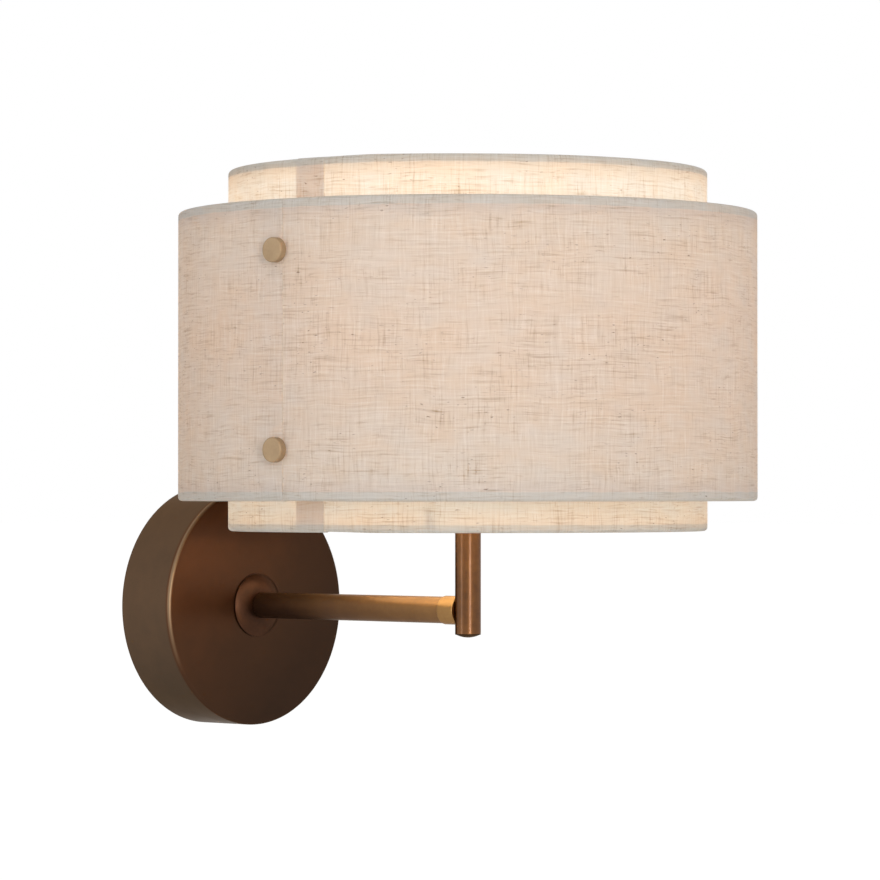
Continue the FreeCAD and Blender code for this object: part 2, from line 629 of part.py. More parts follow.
def bulb_parts():
    """A round bulb: a frosted globe on a flared white body with a screw cap."""
    neck = "bulb_neck_dia / 2"
    bulb = "bulb_dia / 2"
    cosine, sine = "cos(bulb_flare * 1deg)", "sin(bulb_flare * 1deg)"
    thin = "bulb_wall"
    inner_bend = f"flare_radius + {thin}"
    body = turn("bulb_body", "XZ_Plane", [
        (neck, "body_low"), (neck, "flare_low", "-flare_radius"),
        (flare_at("body_top", "flare_radius"), "body_top"),
        (flare_at("body_top", inner_bend), "body_top", inner_bend),
        (f"{neck} - {thin}", "flare_low"), (f"{neck} - {thin}", "body_low")])
    node("bulb_body", place(body, y="-reach"))
    glass = turn("bulb_glass", "XZ_Plane", [
        (flare_at("glass_low", "flare_radius"), "glass_low", "-flare_radius"),
        (f"{bulb} * {cosine}", "flare_high", bulb), ("0", "globe_top"),
        ("0", f"globe_top - {thin}", f"-({bulb} - {thin})"),
        (f"({bulb} - {thin}) * {cosine}", f"globe_mid - ({bulb} - {thin}) * {sine}", inner_bend),
        (flare_at("glass_low", inner_bend), "glass_low")])
    node("bulb_glass", place(glass, y="-reach"))
    rim = "screw_cap_dia / 2"
    cap = tube("bulb_cap", "XZ_Plane", f"{rim} - screw_cap_wall", rim, "cap_low", "cap_high")
    node("bulb_cap", place(cap, y="-reach"))
    insulator = turn("bulb_insulator", "XZ_Plane", [
        ("0", "tip_high"), ("insulator_low_dia / 2", "tip_high"), (rim, "cap_low"),
        ("0", "cap_low")])
    node("bulb_insulator", place(insulator, y="-reach"))
    tip = cylinder("tip_dia", "tip_height", ("0", "-reach", "tip_low"))
    node("bulb_contact", tip)


def shade_ring_nut():
    """The ring that screws down on the holder and clamps the shade's hub."""
    inner = "holder_thread_dia / 2 + screw_play"
    body = turn("shade_ring_nut", "XZ_Plane", [
        (inner, "ring_low"), ("ring_dia / 2", "ring_low"), ("ring_dia / 2", "ring_low + ring_lip"),
        ("ring_body_dia / 2", "ring_low + ring_lip"), ("ring_body_dia / 2", "ring_low + ring_height"),
        (inner, "ring_low + ring_height")])
    return node("shade_ring_nut", place(body, y="-reach"))


# ---------------------------------------------------------------- shade
def on_shade(thing):
    """Stand a piece of the shade on the stem's axis, turned as the shade is."""
    bind(thing, Placement__Rotation__Angle="shade_angle")
    return place(thing, y="-reach")


def post_holes(body, dia):
    """Holes for the posts, straight through the shell at both ends of its X axis."""
    for height in ("post_low", "post_high"):
        holes = new_sketch(body, "YZ_Plane")
        add_circle(holes, dia, "0", height)
        cut_through(body, holes)


def cloth_skin(name, dia, low, high):
    """One layer of linen: a round wall whose rims fold over the hoops and turn back inside."""
    outer = f"{dia} / 2"
    inner = f"({outer} - cloth)"
    lip_out = f"({outer} - fold_depth + cloth)"
    lip_in = f"({outer} - fold_depth)"
    bend = "rim_round"
    body = turn(name, "XZ_Plane", [
        (outer, f"{low} + {bend}"), (outer, f"{high} - {bend}", bend), (f"{outer} - {bend}", high),
        (f"{lip_in} + {bend}", high, bend), (lip_in, f"{high} - {bend}"),
        (lip_in, f"{high} - fold_height"), (lip_out, f"{high} - fold_height"),
        (lip_out, f"{high} - {bend}", f"-({bend} - cloth)"),
        (f"{lip_out} + {bend} - cloth", f"{high} - cloth"),
        (f"{inner} - {bend} + cloth", f"{high} - cloth", f"-({bend} - cloth)"),
        (inner, f"{high} - {bend}"), (inner, f"{low} + {bend}", f"-({bend} - cloth)"),
        (f"{inner} - {bend} + cloth", f"{low} + cloth"),
        (f"{lip_out} + {bend} - cloth", f"{low} + cloth", f"-({bend} - cloth)"),
        (lip_out, f"{low} + {bend}"), (lip_out, f"{low} + fold_height"),
        (lip_in, f"{low} + fold_height"), (lip_in, f"{low} + {bend}", bend),
        (f"{lip_in} + {bend}", low), (f"{outer} - {bend}", low, bend)])
    post_holes(body, "post_screw_dia + 2 * screw_play")
    return node(name, on_shade(body))


def stiff_liner(name, dia, low, high):
    """The clear plastic sheet that the linen is laminated to."""
    outer = f"({dia} / 2 - skin)"
    body = tube(name, "XZ_Plane", f"{outer} - liner", outer, f"{low} + rim_round",
                f"{high} - rim_round")
    post_holes(body, "post_screw_dia + 2 * screw_play")
    return node(name, on_shade(body))


def hoop(name, radius, height):
    """A wire hoop inside a hem."""
    ring = doc.addObject("Part::Torus", name)
    bind(ring, Radius1=radius, Radius2="hoop_wire / 2")
    on_shade(ring)
    bind(ring, Placement__Base__z=height)
    return node(name, ring)


def shade_layer(prefix, dia, radius, low, high):
    """Linen, liner and the two hoops of one layer of the shade."""
    cloth_skin(f"{prefix}_fabric", dia, low, high)
    stiff_liner(f"{prefix}_liner", dia, low, high)
    hoop(f"{prefix}_top_ring", radius, f"{high} - hoop_rise")
    hoop(f"{prefix}_bottom_ring", radius, f"{low} + hoop_rise")


def spider():
    """The flat hub that sits on the holder and the bent wire spokes down to the drum's hoop."""
    hub = tube("hub_ring", "XZ_Plane", "holder_thread_dia / 2 + hub_play", "hub_dia / 2",
               "hub_low", "hub_top")
    node("hub_ring", on_shade(hub))
    hoop_radius = size("drum_hoop")
    level = size("spoke_height")
    start = size("spoke_start")
    foot = worth("drum_low + hoop_rise + hoop_wire / 2 + skin_gap")
    route = [(start, 0, level), (start + size("spoke_flat"), 0, level),
             (hoop_radius, 0, size("spoke_drop_high")), (hoop_radius, 0, foot)]
    bends = [size("spoke_bend"), size("spoke_foot_bend")]
    spokes = []
    count = int(size("spoke_count"))
    for i in range(count):
        spoke = swept("spoke", route, size("spoke_dia"), bends)
        turned = FreeCAD.Rotation(VEC(0, 0, 1), size("spoke_angle") + 360 * i / count)
        spoke.Placement = FreeCAD.Placement(VEC(0, 0, 0), turned)
        spokes.append(spoke)
    on_shade(group("spider_spokes", spokes))


def post_sets():
    """The four spacer posts between drum and band, each with its head, screw and washer."""
    kinds = {"spacer_posts": [], "stud_heads": [], "post_screws": [], "post_washers": []}
    half_turn = FreeCAD.Rotation(VEC(0, 0, 1), 180)
    face = "band_dia / 2 + skin_gap"
    edge = "(stud_head_thick - stud_head_round)"
    under = "(washer_seat - post_washer_thick)"
    for height in ("post_low", "post_high"):
        post = cylinder("post_dia", "post_end - post_start", ("post_start", "0", height), SIDE)
        bore = cylinder("post_screw_dia + 2 * skin_gap", "post_end - post_start",
                        ("post_start", "0", height), SIDE)
        disc = cylinder("stud_head_dia", edge, (face, "0", height), SIDE)
        bevel = taper("stud_head_dia", "stud_head_dia - 2 * stud_head_round", "stud_head_round",
                      (f"{face} + {edge}", "0", height), SIDE)
        shank = cylinder("post_screw_dia", f"{face} - post_end + post_grip",
                         ("post_end - post_grip", "0", height), SIDE)
        washer = cylinder("post_washer_dia", "post_washer_thick", (under, "0", height), SIDE)
        eye = cylinder("post_screw_dia + 2 * snug", "post_washer_thick", (under, "0", height), SIDE)
        knob = cylinder("post_head_dia", "post_head_height",
                        (f"{under} - post_head_height", "0", height), SIDE)
        pin = cylinder("post_screw_dia", f"post_start - {under} + post_grip",
                       (under, "0", height), SIDE)
        kinds["spacer_posts"].append(cut(post, bore))
        kinds["stud_heads"].append(fuse(disc, bevel, shank))
        kinds["post_screws"].append(fuse(knob, pin))
        kinds["post_washers"].append(cut(washer, eye))
    for name, pieces in kinds.items():
        opposite = []
        for piece in pieces:
            twin = doc.addObject("Part::Compound", name + "_opposite")
            twin.Links = [piece]
            twin.Placement = FreeCAD.Placement(VEC(0, 0, 0), half_turn)
            opposite.append(twin)
        on_shade(group(name, pieces + opposite))


# ---------------------------------------------------------------- build, check, write
wall_bracket()
canopy_cup()
canopy_grub_screws()
earth_parts()
terminal_parts()
lead("live_wire", -1)
lead("neutral_wire", 1)
arm_parts()
arm_ferrule()
stem_parts()
lampholder_parts()
bulb_parts()
shade_ring_nut()
shade_layer("drum", "drum_dia", "drum_hoop", "drum_low", "drum_top")
shade_layer("band", "band_dia", "band_hoop", "band_low", "band_top")
spider()
post_sets()
doc.recompute()


def check_and_write():
    """Stop on any failed object or bad solid, then write one STEP file for each node."""
    for thing in doc.Objects:
        if {"Invalid", "Error"} & set(thing.State):
            raise RuntimeError(f"{thing.Label} failed: {thing.State}")
    for name, thing in nodes.items():
        shape = thing.Shape
        if shape.isNull() or not shape.isValid() or not shape.Solids:
            raise RuntimeError(f"{name} has no valid solid")
    os.makedirs("parts", exist_ok=True)
    for name, thing in nodes.items():
        thing.Shape.exportStep(f"parts/{name}.step")
    print(f"{len(nodes)} nodes written")


check_and_write()
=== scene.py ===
"""Fabric shade wall light: the visible pieces, their finishes, the light and the camera.

Metres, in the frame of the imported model: +Z up, the wall is y = 0, the arm runs out along -Y.
A turned piece is drawn as a profile of (radius, height) points in mm. The height is measured
along the axis that it is turned on: up the stem, or out from the wall along the arm.
"""
import json
import math

import bpy
import numpy as np
from mathutils import Matrix, Vector


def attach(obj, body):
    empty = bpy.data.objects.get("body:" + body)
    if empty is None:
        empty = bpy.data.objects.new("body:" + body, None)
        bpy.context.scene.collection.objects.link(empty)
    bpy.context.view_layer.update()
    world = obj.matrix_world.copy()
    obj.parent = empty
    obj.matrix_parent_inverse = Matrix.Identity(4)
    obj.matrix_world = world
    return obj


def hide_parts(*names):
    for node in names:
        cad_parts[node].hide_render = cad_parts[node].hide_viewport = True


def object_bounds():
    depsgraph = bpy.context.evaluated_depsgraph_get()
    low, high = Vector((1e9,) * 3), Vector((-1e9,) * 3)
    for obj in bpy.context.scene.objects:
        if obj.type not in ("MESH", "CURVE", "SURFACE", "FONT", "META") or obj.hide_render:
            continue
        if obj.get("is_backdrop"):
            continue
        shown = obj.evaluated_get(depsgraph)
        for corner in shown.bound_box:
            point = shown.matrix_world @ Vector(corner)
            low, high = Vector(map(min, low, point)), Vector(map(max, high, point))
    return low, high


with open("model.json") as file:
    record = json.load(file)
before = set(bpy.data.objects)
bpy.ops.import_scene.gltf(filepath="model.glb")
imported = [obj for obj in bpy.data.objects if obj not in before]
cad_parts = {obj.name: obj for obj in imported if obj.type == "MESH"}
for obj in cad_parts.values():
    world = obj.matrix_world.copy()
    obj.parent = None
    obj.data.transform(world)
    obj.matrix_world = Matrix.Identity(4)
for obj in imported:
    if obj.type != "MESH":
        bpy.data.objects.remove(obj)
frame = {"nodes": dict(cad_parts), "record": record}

CAD_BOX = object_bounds()
MM = 0.001

# ---------------------------------------------------------------- sizes in mm
REACH = 188.0  # from the wall to the stem's axis
NIPPLE_HOLE = 5.1  # radius of the holes that the threaded nipple passes

CUP_RADIUS = 63.0
CUP_DEPTH = 36.0
CUP_WALL = 1.5
COLLAR_RADIUS = 16.5
COLLAR_EDGE = 0.8
COLLAR_TOP = 40.0

ARM_RADIUS = 6.75
ARM_WALL = 1.0
ARM_END = 178.0
FERRULE_RADIUS = 7.25
FERRULE_BORE = 4.1
FERRULE_BACK = 173.0
FERRULE_FRONT = 183.5

STEM_RADIUS = 6.5
STEM_WALL = 1.5
STEM_LOW = -11.7
STEM_TOP = 56.0
STEM_END_RISE = 1.7

HOLDER_RADIUS = 19.4
HOLDER_BORE = 17.75
HOLDER_TOP = 74.0
FLANGE_RADIUS = 23.5
FLANGE_TOP = 77.0
THREAD_RADIUS = 19.75
THREAD_PITCH = 2.5
SHELL_TOP = 110.0
RING_BORE = 20.0
RING_FLANGE = 26.0
RING_GRIP = 22.8
RING_LOW = 78.7
RING_TOP = 86.7

GLOBE_RADIUS = 30.0
GLOBE_MIDDLE = 160.4
GLOBE_NECK = 12.4
GLOBE_LOW = 126.95

STUD_RADIUS = 6.0
STUD_SHANK = 2.0
STUD_SEAT = 145.05  # from the stem's axis to the underside of the head
STUD_FACE = 149.05
STUD_HEIGHTS = (79.5, 174.5)
STUD_TURN = 4.2  # degrees that the line of studs is turned about the stem

HEM_DEPTH = 4.65  # from the cloth's outside to the inner skin of the turned-in hem
HEM_BEND = 2.0
HEM_FOLD = 6.0  # how far the turned-in lip reaches back from the rim

TURN_COLUMNS = 720  # columns of points in one full turn of linen

STEM = Vector((0, -REACH * MM, 0))


# ---------------------------------------------------------------- meshes
def piece(name, points, faces, body, material, replaces, sharp=35):
    """A mesh object with smooth faces and crisp corners, riding on a body."""
    mesh = bpy.data.meshes.new(name)
    mesh.from_pydata([tuple(p) for p in points], [], faces)
    mesh.validate()
    mesh.polygons.foreach_set("use_smooth", [True] * len(mesh.polygons))
    mesh.set_sharp_from_angle(angle=math.radians(sharp))
    mesh.materials.append(material)
    thing = bpy.data.objects.new(name, mesh)
    bpy.context.scene.collection.objects.link(thing)
    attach(thing, body)
    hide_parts(*replaces)
    return thing


def rounded(corners, steps=6):
    """A profile with its corners rounded. A corner is (radius, height, rounding).

    Each arc gets a holding point just before and after it, so that flat faces stay flat.
    """
    hold = 0.12
    out = []
    count = len(corners)
    for i, (r, h, bend) in enumerate(corners):
        here = Vector((r, h))
        before = Vector(corners[i - 1][:2]) - here
        after = Vector(corners[(i + 1) % count][:2]) - here
        if bend <= 0:
            out.append((r, h))
            continue
        a, b = before.normalized(), after.normalized()
        half = a.angle(b) / 2
        trim = bend / math.tan(half)
        centre = here + (a + b).normalized() * (bend / math.sin(half))
        first, last = here + a * trim, here + b * trim
        if before.length > trim + 2 * hold:
            out.append(tuple(first + a * hold))
        start = first - centre
        sweep = start.angle_signed(last - centre)
        for k in range(steps + 1):
            turned = Matrix.Rotation(-sweep * k / steps, 2) @ start
            out.append(tuple(centre + turned))
        if after.length > trim + 2 * hold:
            out.append(tuple(last + b * hold))
    return out


def arc(centre, radius, start, end, steps):
    """Points of a profile arc, from one angle to another in degrees."""
    angles = np.radians(np.linspace(start, end, steps + 1))
    return [(centre[0] + radius * math.cos(t), centre[1] + radius * math.sin(t)) for t in angles]


def with_rings(profile, radius, heights):
    """The profile with more rings on its outer wall, above the wall's lower corner."""
    at = max(i for i, (r, h) in enumerate(profile) if r > radius - 0.05 and h < heights[0])
    return profile[:at + 1] + [(radius, h) for h in heights] + profile[at + 1:]


def on_stem(r, t, h):
    """A point round the stem's axis, at a height in mm."""
    return (r * math.cos(t) * MM, STEM.y + r * math.sin(t) * MM, h * MM)


def on_arm(r, t, h):
    """A point round the arm's axis, at a distance from the wall in mm."""
    return (r * math.cos(t) * MM, -h * MM, r * math.sin(t) * MM)


def turned_mesh(profile, where, segments, ripple=None):
    """Points and faces of a closed profile turned round an axis.

    Points on the axis become one. ripple(radius, angle, height) lifts the surface outward.
    """
    points, rings = [], []
    for r, h in profile:
        if r < 1e-6:
            rings.append([len(points)] * segments)
            points.append(where(0, 0, h))
            continue
        rings.append(list(range(len(points), len(points) + segments)))
        for k in range(segments):
            t = 2 * math.pi * k / segments
            lift = ripple(r, t, h) if ripple else 0.0
            points.append(where(r + lift, t, h))
    faces = []
    for low, high in zip(rings, rings[1:] + rings[:1]):
        for k in range(segments):
            n = (k + 1) % segments
            corners = [low[k], low[n], high[n], high[k]]
            face = [c for j, c in enumerate(corners) if c != corners[j - 1]]
            if len(face) > 2:
                faces.append(face)
    return points, faces


def grid_faces(columns, rows, closed):
    """Quads between columns of points; a closed grid joins up both ways."""
    faces = []
    for k in range(columns if closed else columns - 1):
        n = (k + 1) % columns
        for i in range(rows if closed else rows - 1):
            j = (i + 1) % rows
            faces.append([k * rows + i, n * rows + i, n * rows + j, k * rows + j])
    return faces


def outward(points, faces):
    """The faces turned so that a closed mesh faces outward."""
    p = np.array([tuple(q) for q in points])
    volume = 0.0
    for f in faces:
        for i in range(1, len(f) - 1):
            volume += float(np.dot(p[f[0]], np.cross(p[f[i]], p[f[i + 1]])))
    return [f[::-1] for f in faces] if volume < 0 else faces


def lathe(name, node, profile, where, body, material, segments, ripple=None):
    """A closed piece turned on the stem's or the arm's axis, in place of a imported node."""
    points, faces = turned_mesh(profile, where, segments, ripple)
    return piece(name, points, outward(points, faces), body, material, [node])


# ---------------------------------------------------------------- materials
class Finish:
    """A node material, with short names for the nodes that it needs."""

    def __init__(self, name):
        self.material = bpy.data.materials.new(name)
        self.material.use_nodes = True
        self.tree = self.material.node_tree
        self.tree.nodes.clear()
        self.output = self.tree.nodes.new("ShaderNodeOutputMaterial")

    def feed(self, socket, value):
        """Links a socket, or sets it; a colour may come without its alpha."""
        if isinstance(value, bpy.types.NodeSocket):
            self.tree.links.new(value, socket)
        elif socket.type == "RGBA" and len(value) == 3:
            socket.default_value = (*value, 1.0)
        else:
            socket.default_value = value

    def node(self, kind, values=None, **settings):
        made = self.tree.nodes.new(kind)
        for name, value in settings.items():
            setattr(made, name, value)
        for name, value in (values or {}).items():
            self.feed(made.inputs[name], value)
        return made

    def math(self, operation, a, b=0.0, c=0.0, clamp=False):
        made = self.node("ShaderNodeMath", {0: a, 1: b, 2: c}, operation=operation, use_clamp=clamp)
        return made.outputs[0]

    def vector(self, operation, a, b):
        return self.node("ShaderNodeVectorMath", {0: a, 1: b}, operation=operation).outputs[0]

    def along(self, place, direction):
        """How far a place lies along a direction."""
        made = self.node("ShaderNodeVectorMath", {0: place, 1: direction}, operation="DOT_PRODUCT")
        return made.outputs["Value"]

    def place(self):
        """Where the surface point is, in metres, on the piece itself."""
        return self.node("ShaderNodeTexCoord").outputs["Object"]

    def scaled(self, vector, scale):
        return self.vector("MULTIPLY", vector, scale)

    def moved(self, vector, shift):
        return self.vector("ADD", vector, shift)

    def noise(self, vector, scale, detail, rough):
        made = self.node("ShaderNodeTexNoise",
                         {"Vector": vector, "Scale": scale, "Detail": detail, "Roughness": rough})
        return made.outputs["Fac"]

    def band(self, value, low, high, to_low=0.0, to_high=1.0):
        """A value rescaled from one range to another and held inside it."""
        made = self.node("ShaderNodeMapRange",
                         {"Value": value, "From Min": low, "From Max": high,
                          "To Min": to_low, "To Max": to_high}, clamp=True)
        return made.outputs[0]

    def blend(self, factor, first, second, mode="MIX"):
        made = self.node("ShaderNodeMix", data_type="RGBA", blend_type=mode)
        self.feed(made.inputs[0], factor)
        self.feed(made.inputs[6], first)
        self.feed(made.inputs[7], second)
        return made.outputs[2]

    def bump(self, height, distance, strength=1.0):
        made = self.node("ShaderNodeBump",
                         {"Height": height, "Distance": distance, "Strength": strength})
        return made.outputs[0]

    def principled(self, colour, metallic, roughness, normal=None, **more):
        """The main shader; further sockets are named with _ for a space."""
        sockets = {"Base Color": colour, "Metallic": metallic, "Roughness": roughness}
        if normal is not None:
            sockets["Normal"] = normal
        sockets.update({name.replace("_", " "): value for name, value in more.items()})
        return self.node("ShaderNodeBsdfPrincipled", sockets).outputs[0]

    def mixed(self, share, first, second):
        return self.node("ShaderNodeMixShader", {0: share, 1: first, 2: second}).outputs[0]

    def done(self, shader):
        self.tree.links.new(shader, self.output.inputs["Surface"])
        return self.material


def srgb(red, green, blue):
    """A colour as it shows on screen, as the linear numbers that shaders take."""
    out = []
    for v in (red, green, blue):
        v /= 255
        out.append(v / 12.92 if v <= 0.04045 else ((v + 0.055) / 1.055) ** 2.4)
    return tuple(out)


EDGE_TINT = (0.60, 0.52, 0.46)  # old brass stays dark where it is seen edge on
PIT_SCALE = 900.0
TURNING_SCALE = 2600.0
GRAIN_SCALE = 1500.0
METAL_RELIEF = 0.00001


def turning(f, place, axis):
    """For a piece turned on an axis: its fine turning lines, the radius, and the place's y."""
    if axis == "stem":
        place = f.moved(place, (0, REACH * MM, 0))
    x, y, z = f.node("ShaderNodeSeparateXYZ", {0: place}).outputs
    across, height = (y, z) if axis == "stem" else (z, y)
    squares = f.math("ADD", f.math("MULTIPLY", x, x), f.math("MULTIPLY", across, across))
    radius = f.math("SQRT", squares)
    ring = f.node("ShaderNodeCombineXYZ", {0: radius, 1: height}).outputs[0]
    lines = f.noise(f.scaled(ring, (TURNING_SCALE, TURNING_SCALE, 1.0)), 1.0, 3.0, 0.65)
    return lines, radius, y


def rim_highlight_and_sheen(f, colour, place, smear, radius, y, rim):
    """A painted highlight on the cup's rounded edge, strongest on its upper left, and a painted
    lighter, cooler sheen on the wall behind it.
    """
    edge_radius, edge_depth, painted_highlight, painted_sheen = rim
    past_radius = f.math("SUBTRACT", radius, edge_radius)
    past_depth = f.math("SUBTRACT", f.math("MULTIPLY", y, -1.0), edge_depth)
    at_edge = f.band(f.math("MINIMUM", past_radius, past_depth), 0.0003, 0.0012)
    side = f.along(place, (-1.0, 0.0, 0.6))
    # Painted highlight, strongest at the upper left, where the light falls on the edge.
    lit_side = f.band(f.math("MULTIPLY_ADD", smear, 0.02, side), 0.045, 0.080)
    behind = f.band(past_depth, 0.0006, -0.0012)
    # Painted sheen: the side wall behind the edge is tinted lighter and cooler.
    colour = f.blend(behind, colour, f.blend(1.0, colour, painted_sheen, "MULTIPLY"))
    return f.blend(f.math("MULTIPLY", at_edge, lit_side), colour, painted_highlight)


def metal(name, dark, mid, light, rough, patch, contrast=1.0, lines=None, painted_light=None, coat=0.0,
          rim=None, metallic=1.0):
    """Satin metal: uneven tone in patches, fine turning lines, small pits and smears.

    lines is "stem" or "arm": the axis that the turning lines run round.
    painted_light is (direction, low, high): painted light and shade, the tone going from dark to
    light between these distances along the direction.
    coat is the share of clear lacquer over the metal. rim is (radius, depth, highlight, sheen): a
    painted highlight on the rounded edge outside that radius and depth, and a painted cooler sheen
    on the wall behind it.
    metallic is under 1 where a dull patina or paint lies over the metal.
    """
    f = Finish(name)
    place = f.place()
    broad = f.noise(place, patch, 3.0, 0.55)
    fine = f.noise(f.moved(place, (0.31, 0.17, 0.05)), patch * 9, 4.0, 0.6)
    tone = f.band(f.math("MULTIPLY_ADD", fine, 0.35, broad), 0.45, 0.95)
    tone = f.math("MULTIPLY_ADD", tone, contrast, 0.5 - 0.5 * contrast, True)
    # Painted light and shade: the tone is lighter along one direction and darker away from it,
    # standing in for how light falls and reflects.
    if painted_light:
        direction, low, high = painted_light
        lit_share = f.band(f.along(place, direction), low, high)
        tone = f.math("MULTIPLY_ADD", lit_share, 0.75, f.math("MULTIPLY", tone, 0.3), True)
    colour = f.blend(f.band(tone, 0.5, 1.0), f.blend(f.band(tone, 0.0, 0.5), dark, mid), light)
    pits = f.band(f.noise(place, PIT_SCALE, 2.0, 0.6), 0.66, 0.78)
    colour = f.blend(f.math("MULTIPLY", pits, 0.3), colour, dark)
    smear = f.noise(f.moved(place, (0.7, 0.2, 0.9)), patch * 2.4, 3.0, 0.6)
    if lines:
        turned, radius, y = turning(f, place, lines)
        height = f.math("MULTIPLY_ADD", fine, 0.4, turned)
        if rim:
            colour = rim_highlight_and_sheen(f, colour, place, smear, radius, y, rim)
    else:
        height = f.noise(f.scaled(place, (GRAIN_SCALE,) * 3), 1.0, 3.0, 0.6)
    roughness = f.band(f.math("MULTIPLY_ADD", height, 0.25, smear), 0.4, 0.85, *rough)
    normal = f.bump(height, METAL_RELIEF)
    return f.done(f.principled(colour, metallic, roughness, normal, Coat_Weight=coat,
                               Coat_Roughness=0.20, Specular_Tint=EDGE_TINT))


def moulded(name, colour, rough):
    """Moulded plastic, glaze or paint: a slight mottle, an orange-peel bump and uneven gloss."""
    f = Finish(name)
    place = f.place()
    cloud = f.noise(place, 60.0, 3.0, 0.6)
    dusk = tuple(c * 0.88 for c in colour)
    base = f.blend(f.band(cloud, 0.3, 0.7), dusk, colour)
    peel = f.noise(place, 700.0, 2.0, 0.5)
    speck = f.band(f.noise(f.moved(place, (0.4, 0.8, 0.1)), 1400.0, 1.0, 0.5), 0.72, 0.8)
    base = f.blend(f.math("MULTIPLY", speck, 0.25), base, tuple(c * 0.6 for c in colour))
    gloss = f.band(f.math("MULTIPLY_ADD", peel, 0.3, cloud), 0.4, 0.9, *rough)
    return f.done(f.principled(base, 0.0, gloss, f.bump(peel, 0.00003)))


def clear_sheet(name):
    """The clear stiffener behind the linen: mostly seen through, with a faint gloss and haze."""
    f = Finish(name)
    place = f.place()
    haze = f.band(f.noise(place, 35.0, 3.0, 0.6), 0.3, 0.7, 0.10, 0.16)
    relief = f.bump(f.noise(place, 120.0, 2.0, 0.5), 0.0001)
    gloss = f.principled(srgb(236, 232, 222), 0.0, f.band(haze, 0.1, 0.16, 0.32, 0.45), relief)
    through = f.node("ShaderNodeBsdfTransparent", {"Color": (0.97, 0.96, 0.93, 1)}).outputs[0]
    return f.done(f.mixed(haze, through, gloss))


def opal(name, strength, low, high):
    """Frosted bulb glass, lit from within, warmer towards its neck.

    The eye meets the glass at a level that keeps its form, a little dimmer at the neck. The
    light that it gives is full, and strongest at the neck. low and high are heights in metres.
    """
    f = Finish(name)
    place = f.place()
    height = f.node("ShaderNodeSeparateXYZ", {0: place}).outputs[2]
    cloud = f.noise(place, 90.0, 3.0, 0.6)
    rise = f.band(height, low, high)
    given = f.math("MULTIPLY", f.band(rise, 0.35, 1.0, 1.72, 0.50), strength)
    seen = f.math("MULTIPLY", f.band(rise, 0.0, 0.35, 0.45, 0.62),
                  f.band(cloud, 0.3, 0.7, 0.94, 1.0))
    eye = f.node("ShaderNodeLightPath").outputs["Is Camera Ray"]
    level = f.node("ShaderNodeMapRange", {"Value": eye, "To Min": given, "To Max": seen}).outputs[0]
    tint = f.blend(f.band(rise, 0.0, 0.5), (1.0, 0.75, 0.48), (1.0, 0.835, 0.66))
    relief = f.bump(f.noise(place, 500.0, 2.0, 0.5), 0.00002)
    return f.done(f.principled(srgb(158, 152, 140), 0.0, f.band(cloud, 0.3, 0.7, 0.28, 0.4), relief,
                               Emission_Color=tint, Emission_Strength=level))


# ---------------------------------------------------------------- linen
PLY_PITCH = 0.00072  # metres from one fine thread to the next but one
WEAVE_RELIEF = 0.00012
LINEN = {"cool": srgb(240, 236, 229), "warm": srgb(242, 234, 222), "pale": srgb(251, 249, 245),
         "thread": srgb(186, 162, 132), "fleck": srgb(142, 108, 80)}
DRUM_LIGHT = {"cool": (0.87, 0.85, 0.83), "warm": (0.92, 0.81, 0.71), "pale": (0.96, 0.95, 0.95),
              "thread": (0.50, 0.32, 0.18), "fleck": (0.28, 0.14, 0.07), "lap": (0.76, 0.50, 0.34)}
BAND_LIGHT = {"cool": (0.76, 0.545, 0.375), "warm": (0.78, 0.495, 0.265), "pale": (0.91, 0.69, 0.49),
              "thread": (0.50, 0.27, 0.12), "fleck": (0.30, 0.14, 0.06), "lap": (0.95, 0.93, 0.90)}
# Painted shade on the hems' own colour.
HEM_PAINTED_SHADE = (0.715, 0.71, 0.70)
# Painted shadow of the hoop and lip, on the light that passes just below a hem.
HOOP_SHADOW = (0.93, 0.76, 0.56)


